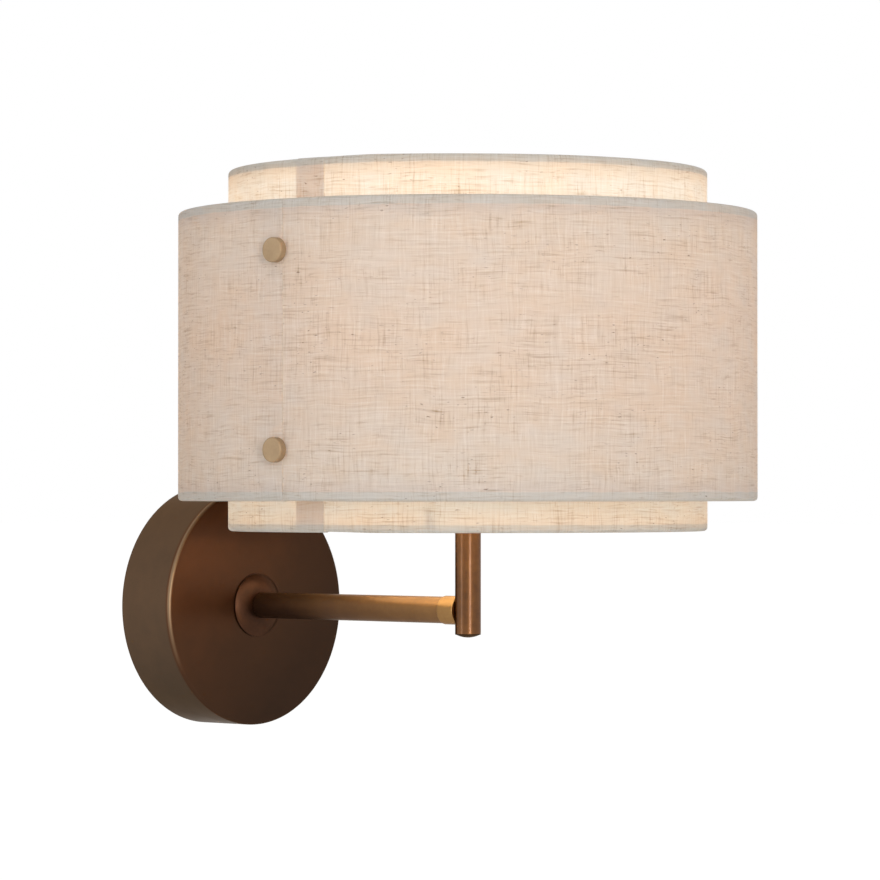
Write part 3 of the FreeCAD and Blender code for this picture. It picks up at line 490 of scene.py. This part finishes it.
class Weave:
    """The pattern of slubbed plain weave, on a map of metres along and up the sheet.

    threads, gap, fleck and warmth are shares from 0 to 1, ply runs from -1 to 1 over the fine
    threads' crossings, and height is the relief.
    """

    def __init__(self, f, chart, seed):
        self.f = f
        self.where = self.swayed(chart, seed)
        self.weft, weft_dark = self.strands(40.0, 1050.0, 0.0, 0.54, 0.71)
        self.warp, warp_dark = self.strands(1050.0, 44.0, 7.3, 0.55, 0.72)
        self.crowd = self.cloud((26.0, 40.0), 3.0, 0.6)
        self.patch = self.cloud((48.0, 70.0), 2.0, 0.6, (2.2, 5.5))
        self.threads = self.slubs(weft_dark, warp_dark)
        self.gap = self.gaps()
        self.fleck = self.flecks()
        self.warmth = self.blooms()
        self.ply = self.crossings()
        self.height = self.relief()

    def swayed(self, chart, seed):
        """The map moved to a part of the noise of its own, and swayed a little."""
        f = self.f
        sway = f.node("ShaderNodeTexNoise", {"Vector": chart, "Scale": 34.0, "Detail": 2.0})
        sway = f.moved(sway.outputs["Color"], (-0.5, -0.5, 0.0))
        sway = f.scaled(sway, (0.0035, 0.0035, 0.0))
        return f.vector("ADD", f.moved(chart, (seed, seed * 0.7, 0.0)), sway)

    def strands(self, along, up, shift, low, high, detail=2.0):
        """Threads as noise stretched along or up the sheet: the raw noise, and its dark share."""
        place = self.f.moved(self.f.scaled(self.where, (along, up, 1.0)), (shift, shift * 1.7, 0.0))
        raw = self.f.noise(place, 1.0, detail, 0.6)
        return raw, self.f.band(raw, low, high)

    def cloud(self, scale, detail, rough, shift=(0.0, 0.0)):
        """Soft noise over the sheet, so many spots to the metre along and up."""
        place = self.f.moved(self.f.scaled(self.where, (*scale, 1.0)), (*shift, 0.0))
        return self.f.noise(place, 1.0, detail, rough)

    def slubs(self, weft_dark, warp_dark):
        """The thicker, darker lengths of thread, long and short, crowded in places."""
        f = self.f
        short_weft = self.strands(120.0, 1250.0, 3.1, 0.60, 0.76, 1.0)[1]
        short_warp = self.strands(1250.0, 130.0, 5.7, 0.62, 0.78, 1.0)[1]
        weft = f.math("MAXIMUM", weft_dark, short_weft)
        warp = f.math("MULTIPLY", f.math("MAXIMUM", warp_dark, short_warp), 0.8)
        knots = self.cloud((85.0, 120.0), 2.0, 0.6, (4.4, 6.1))
        dense = f.math("MULTIPLY", f.band(self.crowd, 0.34, 0.66, 0.38, 1.08),
                       f.band(knots, 0.35, 0.65, 0.40, 1.40))
        return f.math("MULTIPLY", f.math("MULTIPLY", f.math("ADD", weft, warp), dense), 0.53,
                      clamp=True)

    def gaps(self):
        """The open places between threads."""
        f = self.f
        thin = f.math("ADD", f.band(self.weft, 0.47, 0.30), f.band(self.warp, 0.47, 0.30))
        return f.math("MULTIPLY", f.math("MULTIPLY", thin, 0.6, clamp=True), 0.8)

    def flecks(self):
        """Small dark specks where the threads crowd."""
        f = self.f
        specks = self.cloud((300.0, 900.0), 1.0, 0.5, (1.3, 8.8))
        specks = f.math("MULTIPLY", f.band(specks, 0.69, 0.77), f.band(self.crowd, 0.44, 0.58))
        return f.math("MULTIPLY", specks, 0.7)

    def blooms(self):
        """Broad, soft patches of warmer cloth."""
        bloom = self.cloud((13.0, 17.0), 3.0, 0.6)
        return self.f.band(self.f.math("MULTIPLY_ADD", self.patch, 0.8, bloom), 0.72, 1.08)

    def crossings(self):
        """The fine threads going over and under one another."""
        f = self.f
        across, up = f.node("ShaderNodeSeparateXYZ", {0: self.where}).outputs[:2]
        wave = 2 * math.pi / PLY_PITCH
        return f.math("MULTIPLY", f.math("SINE", f.math("MULTIPLY", across, wave)),
                      f.math("SINE", f.math("MULTIPLY", up, wave)))

    def relief(self):
        """The height of the cloth's surface, for the bump."""
        f = self.f
        height = f.math("MULTIPLY_ADD", self.ply, 0.35, f.math("ADD", self.weft, self.warp))
        return f.math("MULTIPLY_ADD", self.threads, 0.8, height)

    def dyed(self, colours):
        """The pattern in one set of colours."""
        cloth = self.f.blend(self.warmth, colours["cool"], colours["warm"])
        cloth = self.f.blend(self.gap, cloth, colours["pale"])
        cloth = self.f.blend(self.threads, cloth, colours["thread"])
        return self.f.blend(self.fleck, cloth, colours["fleck"])


def linen(name, passed, seed, length, hem, lap, lap_share):
    """Slubbed plain-weave linen: warp and weft threads of uneven thickness, flecks and a bloom.

    The map named cloth holds the distance along and up the sheet, in metres, so length is the
    sheet's height with its hems, hem how far a turned-in hem reaches, and lap the glued overlap.
    Part of the light comes back and the rest goes through, as with a lamp behind real linen;
    less goes through the doubled hems, and lap_share more through the overlap's inner layer.
    The hems' own colour is painted darker as shade, and a painted shadow of the hoop and lip
    tints the light that passes just below each hem.
    """
    f = Finish(name)
    chart = f.node("ShaderNodeUVMap", uv_map="cloth").outputs[0]
    weave = Weave(f, chart, seed)

    along, up = f.node("ShaderNodeSeparateXYZ", {0: chart}).outputs[:2]
    edge = f.math("MINIMUM", up, f.math("SUBTRACT", length, up))
    edge = f.math("MULTIPLY_ADD", f.math("SUBTRACT", weave.patch, 0.5), 0.0012, edge)
    hemmed = f.band(edge, hem, hem - 0.0005)
    hoop_shadow = f.band(edge, hem + 0.007, hem)
    lapped = f.band(along, lap + 0.0006, lap)

    base = weave.dyed(LINEN)
    base = f.blend(f.band(weave.ply, -1.0, 1.0, 0.0, 0.10), base, LINEN["thread"])
    # Painted shade: the turned-in hems are darkened.
    base = f.blend(f.math("MULTIPLY", hemmed, 0.8), base, HEM_PAINTED_SHADE, "MULTIPLY")
    through = weave.dyed(passed)
    # Painted shadow of the hoop and lip, tinting the light that passes just below each hem.
    through = f.blend(f.math("MULTIPLY", hoop_shadow, 0.8), through, HOOP_SHADOW, "MULTIPLY")
    through = f.blend(lapped, through, passed["lap"])

    normal = f.bump(weave.height, WEAVE_RELIEF, 0.9)
    front = f.principled(base, 0.0, 0.92, normal, Specular_IOR_Level=0.15,
                         Sheen_Weight=0.12, Sheen_Roughness=0.6)
    behind = f.node("ShaderNodeBsdfTranslucent", {"Color": through, "Normal": normal}).outputs[0]
    share = f.math("MULTIPLY_ADD", hemmed, -0.22, 0.42)
    share = f.math("MULTIPLY_ADD", lapped, lap_share, share)
    return f.done(f.mixed(share, front, behind))


# ---------------------------------------------------------------- the finishes
# The cup: painted light and shade, lighter at the upper left of its face and darker at the lower
# right; a painted highlight on its rounded edge and a painted cooler sheen on its side wall.
CUP = metal("aged_brass_cup", srgb(51, 36, 27), srgb(66, 44, 30), srgb(94, 58, 36),
            rough=(0.32, 0.44), patch=16.0, contrast=0.8, lines="arm",
            painted_light=((-0.71, 0.0, 0.70), -0.045, 0.050), coat=0.05,
            rim=((CUP_RADIUS - 2) * MM, (CUP_DEPTH - 2) * MM, srgb(140, 116, 90),
                 (1.11, 1.68, 2.25)))
COLLAR = metal("aged_brass_collar", srgb(46, 29, 20), srgb(66, 41, 27), srgb(85, 53, 34),
               rough=(0.30, 0.42), patch=60.0, contrast=0.8, lines="arm", metallic=0.85)
# The arm: painted light, lighter on top and towards the stem, where the shade's light falls and
# reflects, and darker underneath.
TUBE = metal("aged_brass_tube", srgb(74, 52, 40), srgb(100, 70, 43), srgb(134, 98, 60),
             rough=(0.28, 0.40), patch=40.0, contrast=0.8, lines="arm",
             painted_light=((0.0, -1.0, 6.0), 0.05, 0.19), coat=0.06, metallic=0.80)
COLUMN = metal("aged_brass_stem", srgb(76, 46, 22), srgb(104, 65, 30), srgb(120, 78, 38),
               rough=(0.30, 0.38), patch=40.0, contrast=0.8, lines="stem", coat=0.42)
# The stem's downward-facing end cap: a darker copy of the stem's brass, painted shade.
STEM_END = metal("shaded_brass_end", srgb(40, 32, 27), srgb(56, 45, 36), srgb(70, 56, 44),
                 rough=(0.34, 0.46), patch=60.0, contrast=0.8, lines="stem")
FERRULE = metal("bright_brass_ferrule", srgb(116, 86, 50), srgb(142, 106, 62),
                srgb(162, 124, 76), rough=(0.30, 0.40), patch=60.0, contrast=0.6, lines="arm",
                coat=0.2)
STUD = metal("bright_brass_stud", srgb(155, 129, 99), srgb(171, 144, 112), srgb(183, 156, 124),
             rough=(0.50, 0.62), patch=80.0, contrast=0.7, metallic=0.35)
BRASS = metal("raw_brass", srgb(150, 116, 62), srgb(186, 150, 88), srgb(212, 180, 116),
              rough=(0.25, 0.4), patch=70.0)
ZINC = metal("zinc_steel", srgb(138, 140, 142), srgb(172, 174, 176), srgb(200, 202, 204),
             rough=(0.28, 0.45), patch=45.0)
NICKEL = metal("nickel", srgb(150, 147, 140), srgb(184, 181, 174), srgb(212, 210, 204),
               rough=(0.18, 0.3), patch=70.0)
HOLDER = moulded("holder_black", srgb(34, 33, 32), (0.38, 0.52))
OPAL = opal("opal_glass", strength=16.2, low=0.127, high=0.190)

PACKED = {  # material slot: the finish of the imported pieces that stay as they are
    "raw_brass": BRASS,
    "bright_brass": STUD,
    "zinc_steel": ZINC,
    "nickel": NICKEL,
    "white_wire": moulded("white_wire", srgb(226, 223, 214), (0.3, 0.45)),
    "ceramic_white": moulded("ceramic_white", srgb(228, 225, 216), (0.4, 0.6)),
    "bulb_white": moulded("bulb_white", srgb(232, 229, 222), (0.3, 0.42)),
    "terminal_clear": moulded("terminal_clear", srgb(222, 220, 212), (0.28, 0.4)),
    "lead_brown": moulded("lead_brown", srgb(96, 58, 34), (0.4, 0.55)),
    "lead_blue": moulded("lead_blue", srgb(52, 92, 150), (0.4, 0.55)),
    "lead_green": moulded("lead_green", srgb(96, 142, 58), (0.4, 0.55)),
    "black_glass": moulded("black_glass", srgb(30, 30, 34), (0.08, 0.16)),
    "liner_sheet": clear_sheet("liner_sheet"),
}
for part in frame["record"]["subparts"]:
    finish = PACKED.get(part["material_slot"])
    if finish:
        packed = frame["nodes"][part["node"]]
        packed.data.materials.clear()
        packed.data.materials.append(finish)


# ---------------------------------------------------------------- wall cup, arm and stem
def canopy():
    """The spun wall cup: a thin round wall, a flat face and a rolled edge between them."""
    inside_radius = CUP_RADIUS - CUP_WALL
    inside_depth = CUP_DEPTH - CUP_WALL
    profile = rounded([(CUP_RADIUS, 0, 0.35), (CUP_RADIUS, CUP_DEPTH, 2.0),
                       (NIPPLE_HOLE, CUP_DEPTH, 0.2), (NIPPLE_HOLE, inside_depth, 0),
                       (inside_radius, inside_depth, 0.5), (inside_radius, 0, 0.35)], steps=8)
    lathe("canopy", "canopy_cup", profile, on_arm, "fixture", CUP, 256)


def collar():
    """The domed washer that covers the hole in the cup."""
    seat = ARM_RADIUS + 0.8
    low = CUP_DEPTH + COLLAR_EDGE
    run, rise = COLLAR_RADIUS - seat, COLLAR_TOP - low
    radius = (run * run + rise * rise) / (2 * rise)
    centre = (seat, COLLAR_TOP - radius)
    start = math.degrees(math.atan2(low - centre[1], run))
    profile = [(NIPPLE_HOLE, CUP_DEPTH), (COLLAR_RADIUS - 0.05, CUP_DEPTH),
               (COLLAR_RADIUS, CUP_DEPTH + 0.1), (COLLAR_RADIUS, low - 0.15)]
    profile += arc(centre, radius, start, 90, 18)
    profile += [(ARM_RADIUS + 0.15, COLLAR_TOP), (ARM_RADIUS + 0.05, COLLAR_TOP - 0.1),
                (NIPPLE_HOLE, COLLAR_TOP - 0.1)]
    lathe("collar", "arm_collar", profile, on_arm, "fixture", COLLAR, 192)


def arm():
    """The straight arm tube."""
    inside = ARM_RADIUS - ARM_WALL
    profile = rounded([(ARM_RADIUS, COLLAR_TOP, 0.15), (ARM_RADIUS, ARM_END, 0.15),
                       (inside, ARM_END, 0), (inside, COLLAR_TOP, 0)])
    profile = with_rings(profile, ARM_RADIUS, np.linspace(52, 166, 9))
    lathe("arm", "arm_tube", profile, on_arm, "fixture", TUBE, 128)


def ferrule():
    """The arm's end sleeve, its front hollowed to sit round the stem, with softened edges."""
    segments = 160
    ease = 0.25
    sleeve = ARM_RADIUS + 0.05
    hollow = STEM_RADIUS + 0.1
    face = FERRULE_RADIUS - ease  # radius of the flat faces inside the softened edges

    def front(x):
        return min(FERRULE_FRONT, REACH - math.sqrt(max(hollow * hollow - x * x, 0)))

    points = []
    for k in range(segments):
        t = 2 * math.pi * k / segments
        across = math.cos(t)
        end = front(FERRULE_RADIUS * across)
        edge_end = front(face * across) - ease
        row = [(sleeve, FERRULE_BACK + 0.05), (6.95, FERRULE_BACK), (face, FERRULE_BACK)]
        row += [(face + ease * math.sin(a), FERRULE_BACK + ease - ease * math.cos(a))
                for a in np.radians((30, 60, 90))]
        row += [(FERRULE_RADIUS, FERRULE_BACK + 1), (FERRULE_RADIUS, (FERRULE_BACK + end) / 2),
                (FERRULE_RADIUS, end - 0.9)]
        row += [(face + ease * math.cos(a), edge_end + ease * math.sin(a))
                for a in np.radians((0, 30, 60, 90))]
        row += [(r, front(r * across)) for r in (6.4, 5.8, 5.2, 4.6, FERRULE_BORE)]
        row += [(FERRULE_BORE, ARM_END + 0.2), (sleeve, ARM_END + 0.2)]
        points += [on_arm(r, t, h) for r, h in row]
    faces = grid_faces(segments, len(row), closed=True)
    piece("ferrule", points, outward(points, faces), "fixture", FERRULE,
          ["arm_ferrule"], sharp=50)


def stem():
    """The upright tube."""
    inside = STEM_RADIUS - STEM_WALL
    tube = rounded([(STEM_RADIUS, STEM_LOW, 0.12), (STEM_RADIUS, STEM_TOP, 0.2),
                    (inside, STEM_TOP, 0), (inside, STEM_LOW, 0)])
    tube = with_rings(tube, STEM_RADIUS, np.linspace(-4, 50, 7))
    lathe("stem", "stem_tube", tube, on_stem, "fixture", COLUMN, 128)


def stem_cap():
    """The stem's domed end, a fine joint line below the tube, with its spigot."""
    joint = STEM_LOW - 0.1
    low = joint - STEM_END_RISE
    radius = (STEM_RADIUS ** 2 + STEM_END_RISE ** 2) / (2 * STEM_END_RISE)
    half = math.degrees(math.asin((STEM_RADIUS - 0.12) / radius))
    dome = arc((0, low + radius), radius, -90, -90 + half, 14)
    edge = [(STEM_RADIUS - 0.03, joint - 0.22), (STEM_RADIUS, joint - 0.15),
            (STEM_RADIUS - 0.02, joint - 0.04), (STEM_RADIUS - 0.1, joint)]
    spigot, spigot_top = STEM_RADIUS - STEM_WALL - 0.05, joint + 1.75
    cap = [(0.0, low)] + dome[1:] + edge
    cap += [(spigot, joint), (spigot, spigot_top), (0.0, spigot_top)]
    lathe("stem_cap", "stem_end_cap", cap, on_stem, "fixture", STEM_END, 128)


def studs():
    """The four flat round heads that hold the band to its posts, each with its shank."""
    shank_end = 138.0
    profile = rounded([(0, shank_end, 0), (STUD_SHANK, shank_end, 0.2), (STUD_SHANK, STUD_SEAT, 0),
                       (STUD_RADIUS, STUD_SEAT, 0.15), (STUD_RADIUS, STUD_FACE, 0.9),
                       (0, STUD_FACE, 0)])
    points, faces = [], []
    for side in (0, math.pi):
        turned = math.radians(STUD_TURN) + side
        way = Vector((math.cos(turned), math.sin(turned), 0))
        across = Vector((-way.y, way.x, 0))
        for height in STUD_HEIGHTS:

            def where(r, t, h):
                p = way * h + across * (r * math.cos(t)) + Vector((0, 0, r * math.sin(t) + height))
                return tuple(STEM + p * MM)

            own_points, own_faces = turned_mesh(profile, where, 64)
            own_faces = outward(own_points, own_faces)
            faces += [[i + len(points) for i in face] for face in own_faces]
            points += own_points
    piece("studs", points, faces, "shade", STUD, ["stud_heads"])


# ---------------------------------------------------------------- lampholder, ring and bulb
def holder_cap():
    """The lampholder's cap, with a ribbed grip."""
    ribs = 48
    rib_height = 0.22
    bore, neck = 5.05, 9.0
    floor_top, shoulder, inner_shoulder = STEM_TOP + 2, 64.9, 66.0

    def ribbed(r, t, h):
        return rib_height * max(0.0, math.cos(ribs * t)) if 65.6 < h < 72.6 else 0.0

    cap = rounded([(bore, STEM_TOP, 0), (neck, STEM_TOP, 0.8), (HOLDER_RADIUS, shoulder, 1.2),
                   (HOLDER_RADIUS, HOLDER_TOP, 0.3), (HOLDER_BORE, HOLDER_TOP, 0),
                   (HOLDER_BORE, inner_shoulder, 0), (neck, floor_top, 0), (bore, floor_top, 0)])
    cap = with_rings(cap, HOLDER_RADIUS, (65.8, 66.2, 68, 70, 72, 72.4))
    lathe("holder_cap", "lampholder_cap", cap, on_stem, "fixture", HOLDER, 384,
          ribbed)


def holder_shell():
    """The lampholder's threaded shell, with the flange that carries the shade."""
    low, high, depth = 87.2, 109.2, 0.9

    def thread(r, t, h):
        if abs(r - THREAD_RADIUS) > 1e-6 or not low < h < high:
            return 0.0
        fade = min(1.0, (h - low) / THREAD_PITCH, (high - h) / THREAD_PITCH)
        turns = h / THREAD_PITCH - t / (2 * math.pi)
        return -depth * fade * (0.5 + 0.5 * math.cos(2 * math.pi * turns))

    inside = HOLDER_BORE - 1
    shell = rounded([(inside, HOLDER_TOP, 0), (FLANGE_RADIUS, HOLDER_TOP, 0.5),
                     (FLANGE_RADIUS, FLANGE_TOP, 0.5), (THREAD_RADIUS, FLANGE_TOP, 0.2)])
    shell += [(THREAD_RADIUS, h) for h in np.arange(78, 109.4, THREAD_PITCH / 8)]
    shell += [(THREAD_RADIUS - 0.25, SHELL_TOP), (HOLDER_BORE, SHELL_TOP),
              (HOLDER_BORE, FLANGE_TOP), (inside, FLANGE_TOP)]
    lathe("holder_shell", "lampholder_shell", shell, on_stem, "fixture", HOLDER,
          192, thread)


def ring_nut():
    """The shade ring: a flange and a fluted grip."""
    flutes = 28
    flute_depth = 0.7
    flange_top = RING_LOW + 2

    def grip(r, t, h):
        if abs(r - RING_GRIP) > 1e-6 or not 81.6 < h < 86.2:
            return 0.0
        return -flute_depth * (0.5 + 0.5 * math.cos(flutes * t)) ** 2

    profile = rounded([(RING_BORE, RING_LOW, 0.2), (RING_FLANGE, RING_LOW, 0.4),
                       (RING_FLANGE, flange_top, 0.4), (RING_GRIP, flange_top, 0.3)])
    profile += [(RING_GRIP, h) for h in (81.5, 81.7, 83, 84.5, 86.0, 86.25)]
    profile += rounded([(RING_GRIP, 86.3, 0), (RING_GRIP, RING_TOP, 0.2),
                        (RING_BORE, RING_TOP, 0.2), (RING_BORE, 80, 0)])[1:]
    lathe("ring_nut", "shade_ring_nut", profile, on_stem, "shade_ring", FERRULE,
          336, grip)


def bulb():
    """The frosted globe, one closed skin whose neck flares into the ball."""
    flare = math.radians(40)
    bend = (GLOBE_RADIUS * math.cos(flare) - GLOBE_NECK) / (1 - math.cos(flare))
    join = GLOBE_MIDDLE - GLOBE_RADIUS * math.sin(flare)
    low = join - bend * math.sin(flare)
    profile = [(0.0, GLOBE_LOW)]
    profile += [(GLOBE_NECK + bend - math.sqrt(bend * bend - (h - low) ** 2), h)
                for h in np.linspace(GLOBE_LOW, join, 14)]
    profile += arc((0, GLOBE_MIDDLE), GLOBE_RADIUS, -40, 90, 44)[1:-1]
    profile += [(0.0, GLOBE_MIDDLE + GLOBE_RADIUS)]
    lathe("bulb_globe", "bulb_glass", profile, on_stem, "bulb", OPAL, 128)


# ---------------------------------------------------------------- the two linen layers
def hem_profile(radius, low, high):
    """The linen's section from one turned-in lip, over both rims, to the other."""
    inside = radius - HEM_DEPTH
    middle = inside + HEM_DEPTH / 2
    lip = (HEM_FOLD, HEM_FOLD - 1.2, HEM_FOLD - 2.4, HEM_BEND + 0.6)
    top, bottom = high - HEM_BEND, low + HEM_BEND
    steps = 30
    points = [(inside, high - h) for h in lip]
    points += arc((inside + HEM_BEND, top), HEM_BEND, 180, 90, 7)
    points += [(middle, high)]
    points += arc((radius - HEM_BEND, top), HEM_BEND, 90, 0, 7)
    points += [(radius, top + (bottom - top) * k / steps) for k in range(1, steps)]
    points += arc((radius - HEM_BEND, bottom), HEM_BEND, 0, -90, 7)
    points += [(middle, low)]
    points += arc((inside + HEM_BEND, bottom), HEM_BEND, -90, -180, 7)
    points += [(inside, low + h) for h in reversed(lip)]
    return [Vector(p) for p in points]


def inward_normals(profile):
    """For each point of a section, the direction towards the stem's side of the cloth."""
    normals = []
    for i in range(len(profile)):
        along = profile[min(i + 1, len(profile) - 1)] - profile[max(i - 1, 0)]
        along.normalize()
        normals.append(Vector((-along.y, along.x)))
    middle = normals[len(normals) // 2]
    return normals if middle.x < 0 else [-n for n in normals]


def eased(share):
    """0 to 1 with a soft start and end."""
    share = min(1.0, max(0.0, share))
    return share * share * (3 - 2 * share)


def lengths_along(profile):
    """How far along the section each of its points lies."""
    length = [0.0]
    for a, b in zip(profile, profile[1:]):
        length.append(length[-1] + (b - a).length)
    return length


def wrapped(profile, radius, high, seam, lap_angle, columns, tuck, rise):
    """The wrapped sheet's points, and the place of each on the flat sheet in metres.

    One more column than the sheet needs folds the cut edge down on the layer below.
    """
    normals = inward_normals(profile)
    length = lengths_along(profile)
    step = 2 * math.pi / TURN_COLUMNS
    settle, fall = math.radians(14), math.radians(50)
    crest_depth, edge_thickness = 9.0, 0.06
    points, marks = [], []
    for k in range(columns + 2):
        along = min(k, columns) * step
        inset = tuck * (1 - eased((along - lap_angle) / settle))
        if k > columns:
            inset = tuck - edge_thickness
        lift = rise * (1 - eased(along / fall))
        t = math.radians(seam) + along
        wave = 0.10 * math.sin(3 * t + 0.7) + 0.06 * math.sin(7 * t + seam)
        for p, n, far in zip(profile, normals, length):
            q = p + n * inset
            crest = max(0.0, 1 - (high - q.y) / crest_depth)
            points.append(on_stem(q.x + wave, t, q.y + lift * crest))
            marks.append((radius * along * MM, far * MM))
    return points, marks


def linen_layer(name, node, radius, low, high, seam, lap, tuck, rise, hem, light, lap_share):
    """One layer of linen, wrapped once round from its seam and lapped over its own start.

    seam and lap are degrees round the stem. The sheet starts tuck inside its radius, under the
    end that laps over it, and with its upper hem raised by rise.
    """
    profile = hem_profile(radius, low, high)
    length = lengths_along(profile)
    step = 2 * math.pi / TURN_COLUMNS
    lap_angle = math.radians(lap)
    extra = round(lap_angle / step)
    columns = TURN_COLUMNS + extra
    points, marks = wrapped(profile, radius, high, seam, lap_angle, columns, tuck, rise)
    faces = grid_faces(columns + 2, len(profile), closed=False)

    seed = seam * 0.01 + radius * 0.1
    material = linen(name, light, seed, length[-1] * MM, hem * MM, lap_angle * radius * MM,
                     lap_share)
    cloth = piece(name, points, faces, "shade", material, [node], sharp=60)
    chart = cloth.data.uv_layers.new(name="cloth")
    corners = np.empty(len(cloth.data.loops), dtype=np.int32)
    cloth.data.loops.foreach_get("vertex_index", corners)
    chart.data.foreach_set("uv", np.array(marks, dtype=np.float32)[corners].ravel())


canopy()
collar()
arm()
ferrule()
stem()
stem_cap()
studs()
holder_cap()
holder_shell()
ring_nut()
bulb()
linen_layer("drum_linen", "drum_fabric",
            radius=120.0, low=40.0, high=220.0, seam=179.4, lap=8.3, tuck=0.46, rise=0.7,
            hem=12.9, light=DRUM_LIGHT, lap_share=0.0)
linen_layer("band_linen", "band_fabric",
            radius=145.0, low=55.0, high=199.0, seam=179.6, lap=5.9, tuck=0.28, rise=0.3,
            hem=13.6, light=BAND_LIGHT, lap_share=0.4)


# ---------------------------------------------------------------- floor, light and camera
FLOOR_HEIGHT = -0.26
FLOOR_SIZE = 30.0
FLOOR_GLOW = 1.3
FLOOR_GLOW_SHARE = 0.65
MIDDLE = Vector((0, -0.15, 0.08))  # what the lamps face
VIEW_AZIMUTH, VIEW_ELEVATION = -46.6, -0.70
VIEW_DISTANCE = 2.2354
VIEW_RIGHT, VIEW_UP = 0.12256, 0.08713  # the camera's sideways and upward place, in metres
FOCAL_PIXELS, IMAGE_PIXELS, SENSOR = 4200, 880, 36.0


def seen_rays(tree):
    """1 for rays from the eye, also by way of metal and glass, and 0 for rays that light."""
    ray = tree.nodes.new("ShaderNodeLightPath").outputs
    share = ray["Is Camera Ray"]
    for kind in ("Is Glossy Ray", "Is Transmission Ray"):
        either = tree.nodes.new("ShaderNodeMath")
        either.operation = "MAXIMUM"
        tree.links.new(share, either.inputs[0])
        tree.links.new(ray[kind], either.inputs[1])
        share = either.outputs[0]
    return share


def floor():
    """A pale floor, white to the eye and in reflections, that still takes a soft shadow."""
    f = Finish("floor")
    tone = f.blend(f.noise(f.place(), 3.0, 3.0, 0.5), srgb(236, 236, 234), srgb(244, 244, 243))
    ground = f.principled(tone, 0.0, 0.9, Specular_IOR_Level=0.0)
    glow = f.node("ShaderNodeEmission", {"Color": (1, 1, 1, 1), "Strength": FLOOR_GLOW}).outputs[0]
    share = f.math("MULTIPLY", seen_rays(f.tree), FLOOR_GLOW_SHARE)
    mesh = bpy.data.meshes.new("floor")
    corners = [(x * FLOOR_SIZE, y * FLOOR_SIZE, FLOOR_HEIGHT)
               for x, y in ((-1, -1), (1, -1), (1, 1), (-1, 1))]
    mesh.from_pydata(corners, [], [(0, 1, 2, 3)])
    mesh.materials.append(f.done(f.mixed(share, ground, glow)))
    plane = bpy.data.objects.new("floor", mesh)
    bpy.context.scene.collection.objects.link(plane)
    plane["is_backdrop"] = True


def sky(level):
    """Even studio light, white to the eye."""
    world = bpy.data.worlds.new("studio")
    bpy.context.scene.world = world
    world.use_nodes = True
    tree = world.node_tree
    tree.nodes.clear()
    power = tree.nodes.new("ShaderNodeMapRange")
    power.inputs["To Min"].default_value = level
    power.inputs["To Max"].default_value = 1.0
    tree.links.new(seen_rays(tree), power.inputs["Value"])
    light = tree.nodes.new("ShaderNodeBackground")
    light.inputs["Color"].default_value = (1, 1, 1, 1)
    tree.links.new(power.outputs[0], light.inputs["Strength"])
    out = tree.nodes.new("ShaderNodeOutputWorld")
    tree.links.new(light.outputs[0], out.inputs["Surface"])


def direction(azimuth, elevation):
    """Towards an eye at this azimuth and elevation; 0 looks along +Y, -90 along +X."""
    a, e = math.radians(azimuth), math.radians(elevation)
    return Vector((math.sin(a) * math.cos(e), -math.cos(a) * math.cos(e), math.sin(e)))


def area_light(name, shape, width, watts, colour, place):
    """An area light that faces straight down."""
    data = bpy.data.lights.new(name, "AREA")
    data.shape = shape
    data.size = width
    data.energy = watts
    data.color = colour
    thing = bpy.data.objects.new(name, data)
    thing.location = place
    bpy.context.scene.collection.objects.link(thing)
    return thing


def soft_box(name, azimuth, elevation, distance, width, height, watts, colour):
    """A tall soft light that faces the object."""
    way = direction(azimuth, elevation)
    thing = area_light(name, "RECTANGLE", width, watts, colour, MIDDLE + way * distance)
    thing.data.size_y = height
    thing.rotation_euler = way.to_track_quat("Z", "Y").to_euler()


def spill():
    """The light that leaves the shade downwards, which gilds the top of the arm."""
    area_light("spill", "DISK", width=0.21, watts=0.27, colour=(1.0, 0.90, 0.70),
               place=STEM + Vector((0, 0, 0.050)))


def camera():
    """The photograph's view: 46.6 degrees round to the left, level, from about 2.2 m."""
    back = direction(VIEW_AZIMUTH, VIEW_ELEVATION)
    a = math.radians(VIEW_AZIMUTH)
    right = Vector((math.cos(a), math.sin(a), 0))
    up = back.cross(right)
    data = bpy.data.cameras.new("camera")
    data.sensor_fit = "HORIZONTAL"
    data.sensor_width = SENSOR
    data.lens = FOCAL_PIXELS / IMAGE_PIXELS * SENSOR
    data.clip_start = 0.05
    data.clip_end = 60.0
    eye = bpy.data.objects.new("camera", data)
    place = right * VIEW_RIGHT + up * VIEW_UP + back * VIEW_DISTANCE
    turn = Matrix((right, up, back)).transposed().to_4x4()
    eye.matrix_world = Matrix.Translation(place) @ turn
    bpy.context.scene.collection.objects.link(eye)
    bpy.context.scene.camera = eye


floor()
sky(0.60)
soft_box("key", azimuth=-28, elevation=5, distance=2.6, width=0.32, height=2.0, watts=34.0,
         colour=(1.0, 1.0, 1.0))
soft_box("side", azimuth=-105, elevation=8, distance=2.4, width=0.5, height=1.4, watts=8.0,
         colour=(0.86, 0.95, 1.0))
spill()
camera()
bpy.context.scene.view_settings.view_transform = "Standard"

[[list(map(float, corner)) for corner in box] for box in (CAD_BOX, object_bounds())]
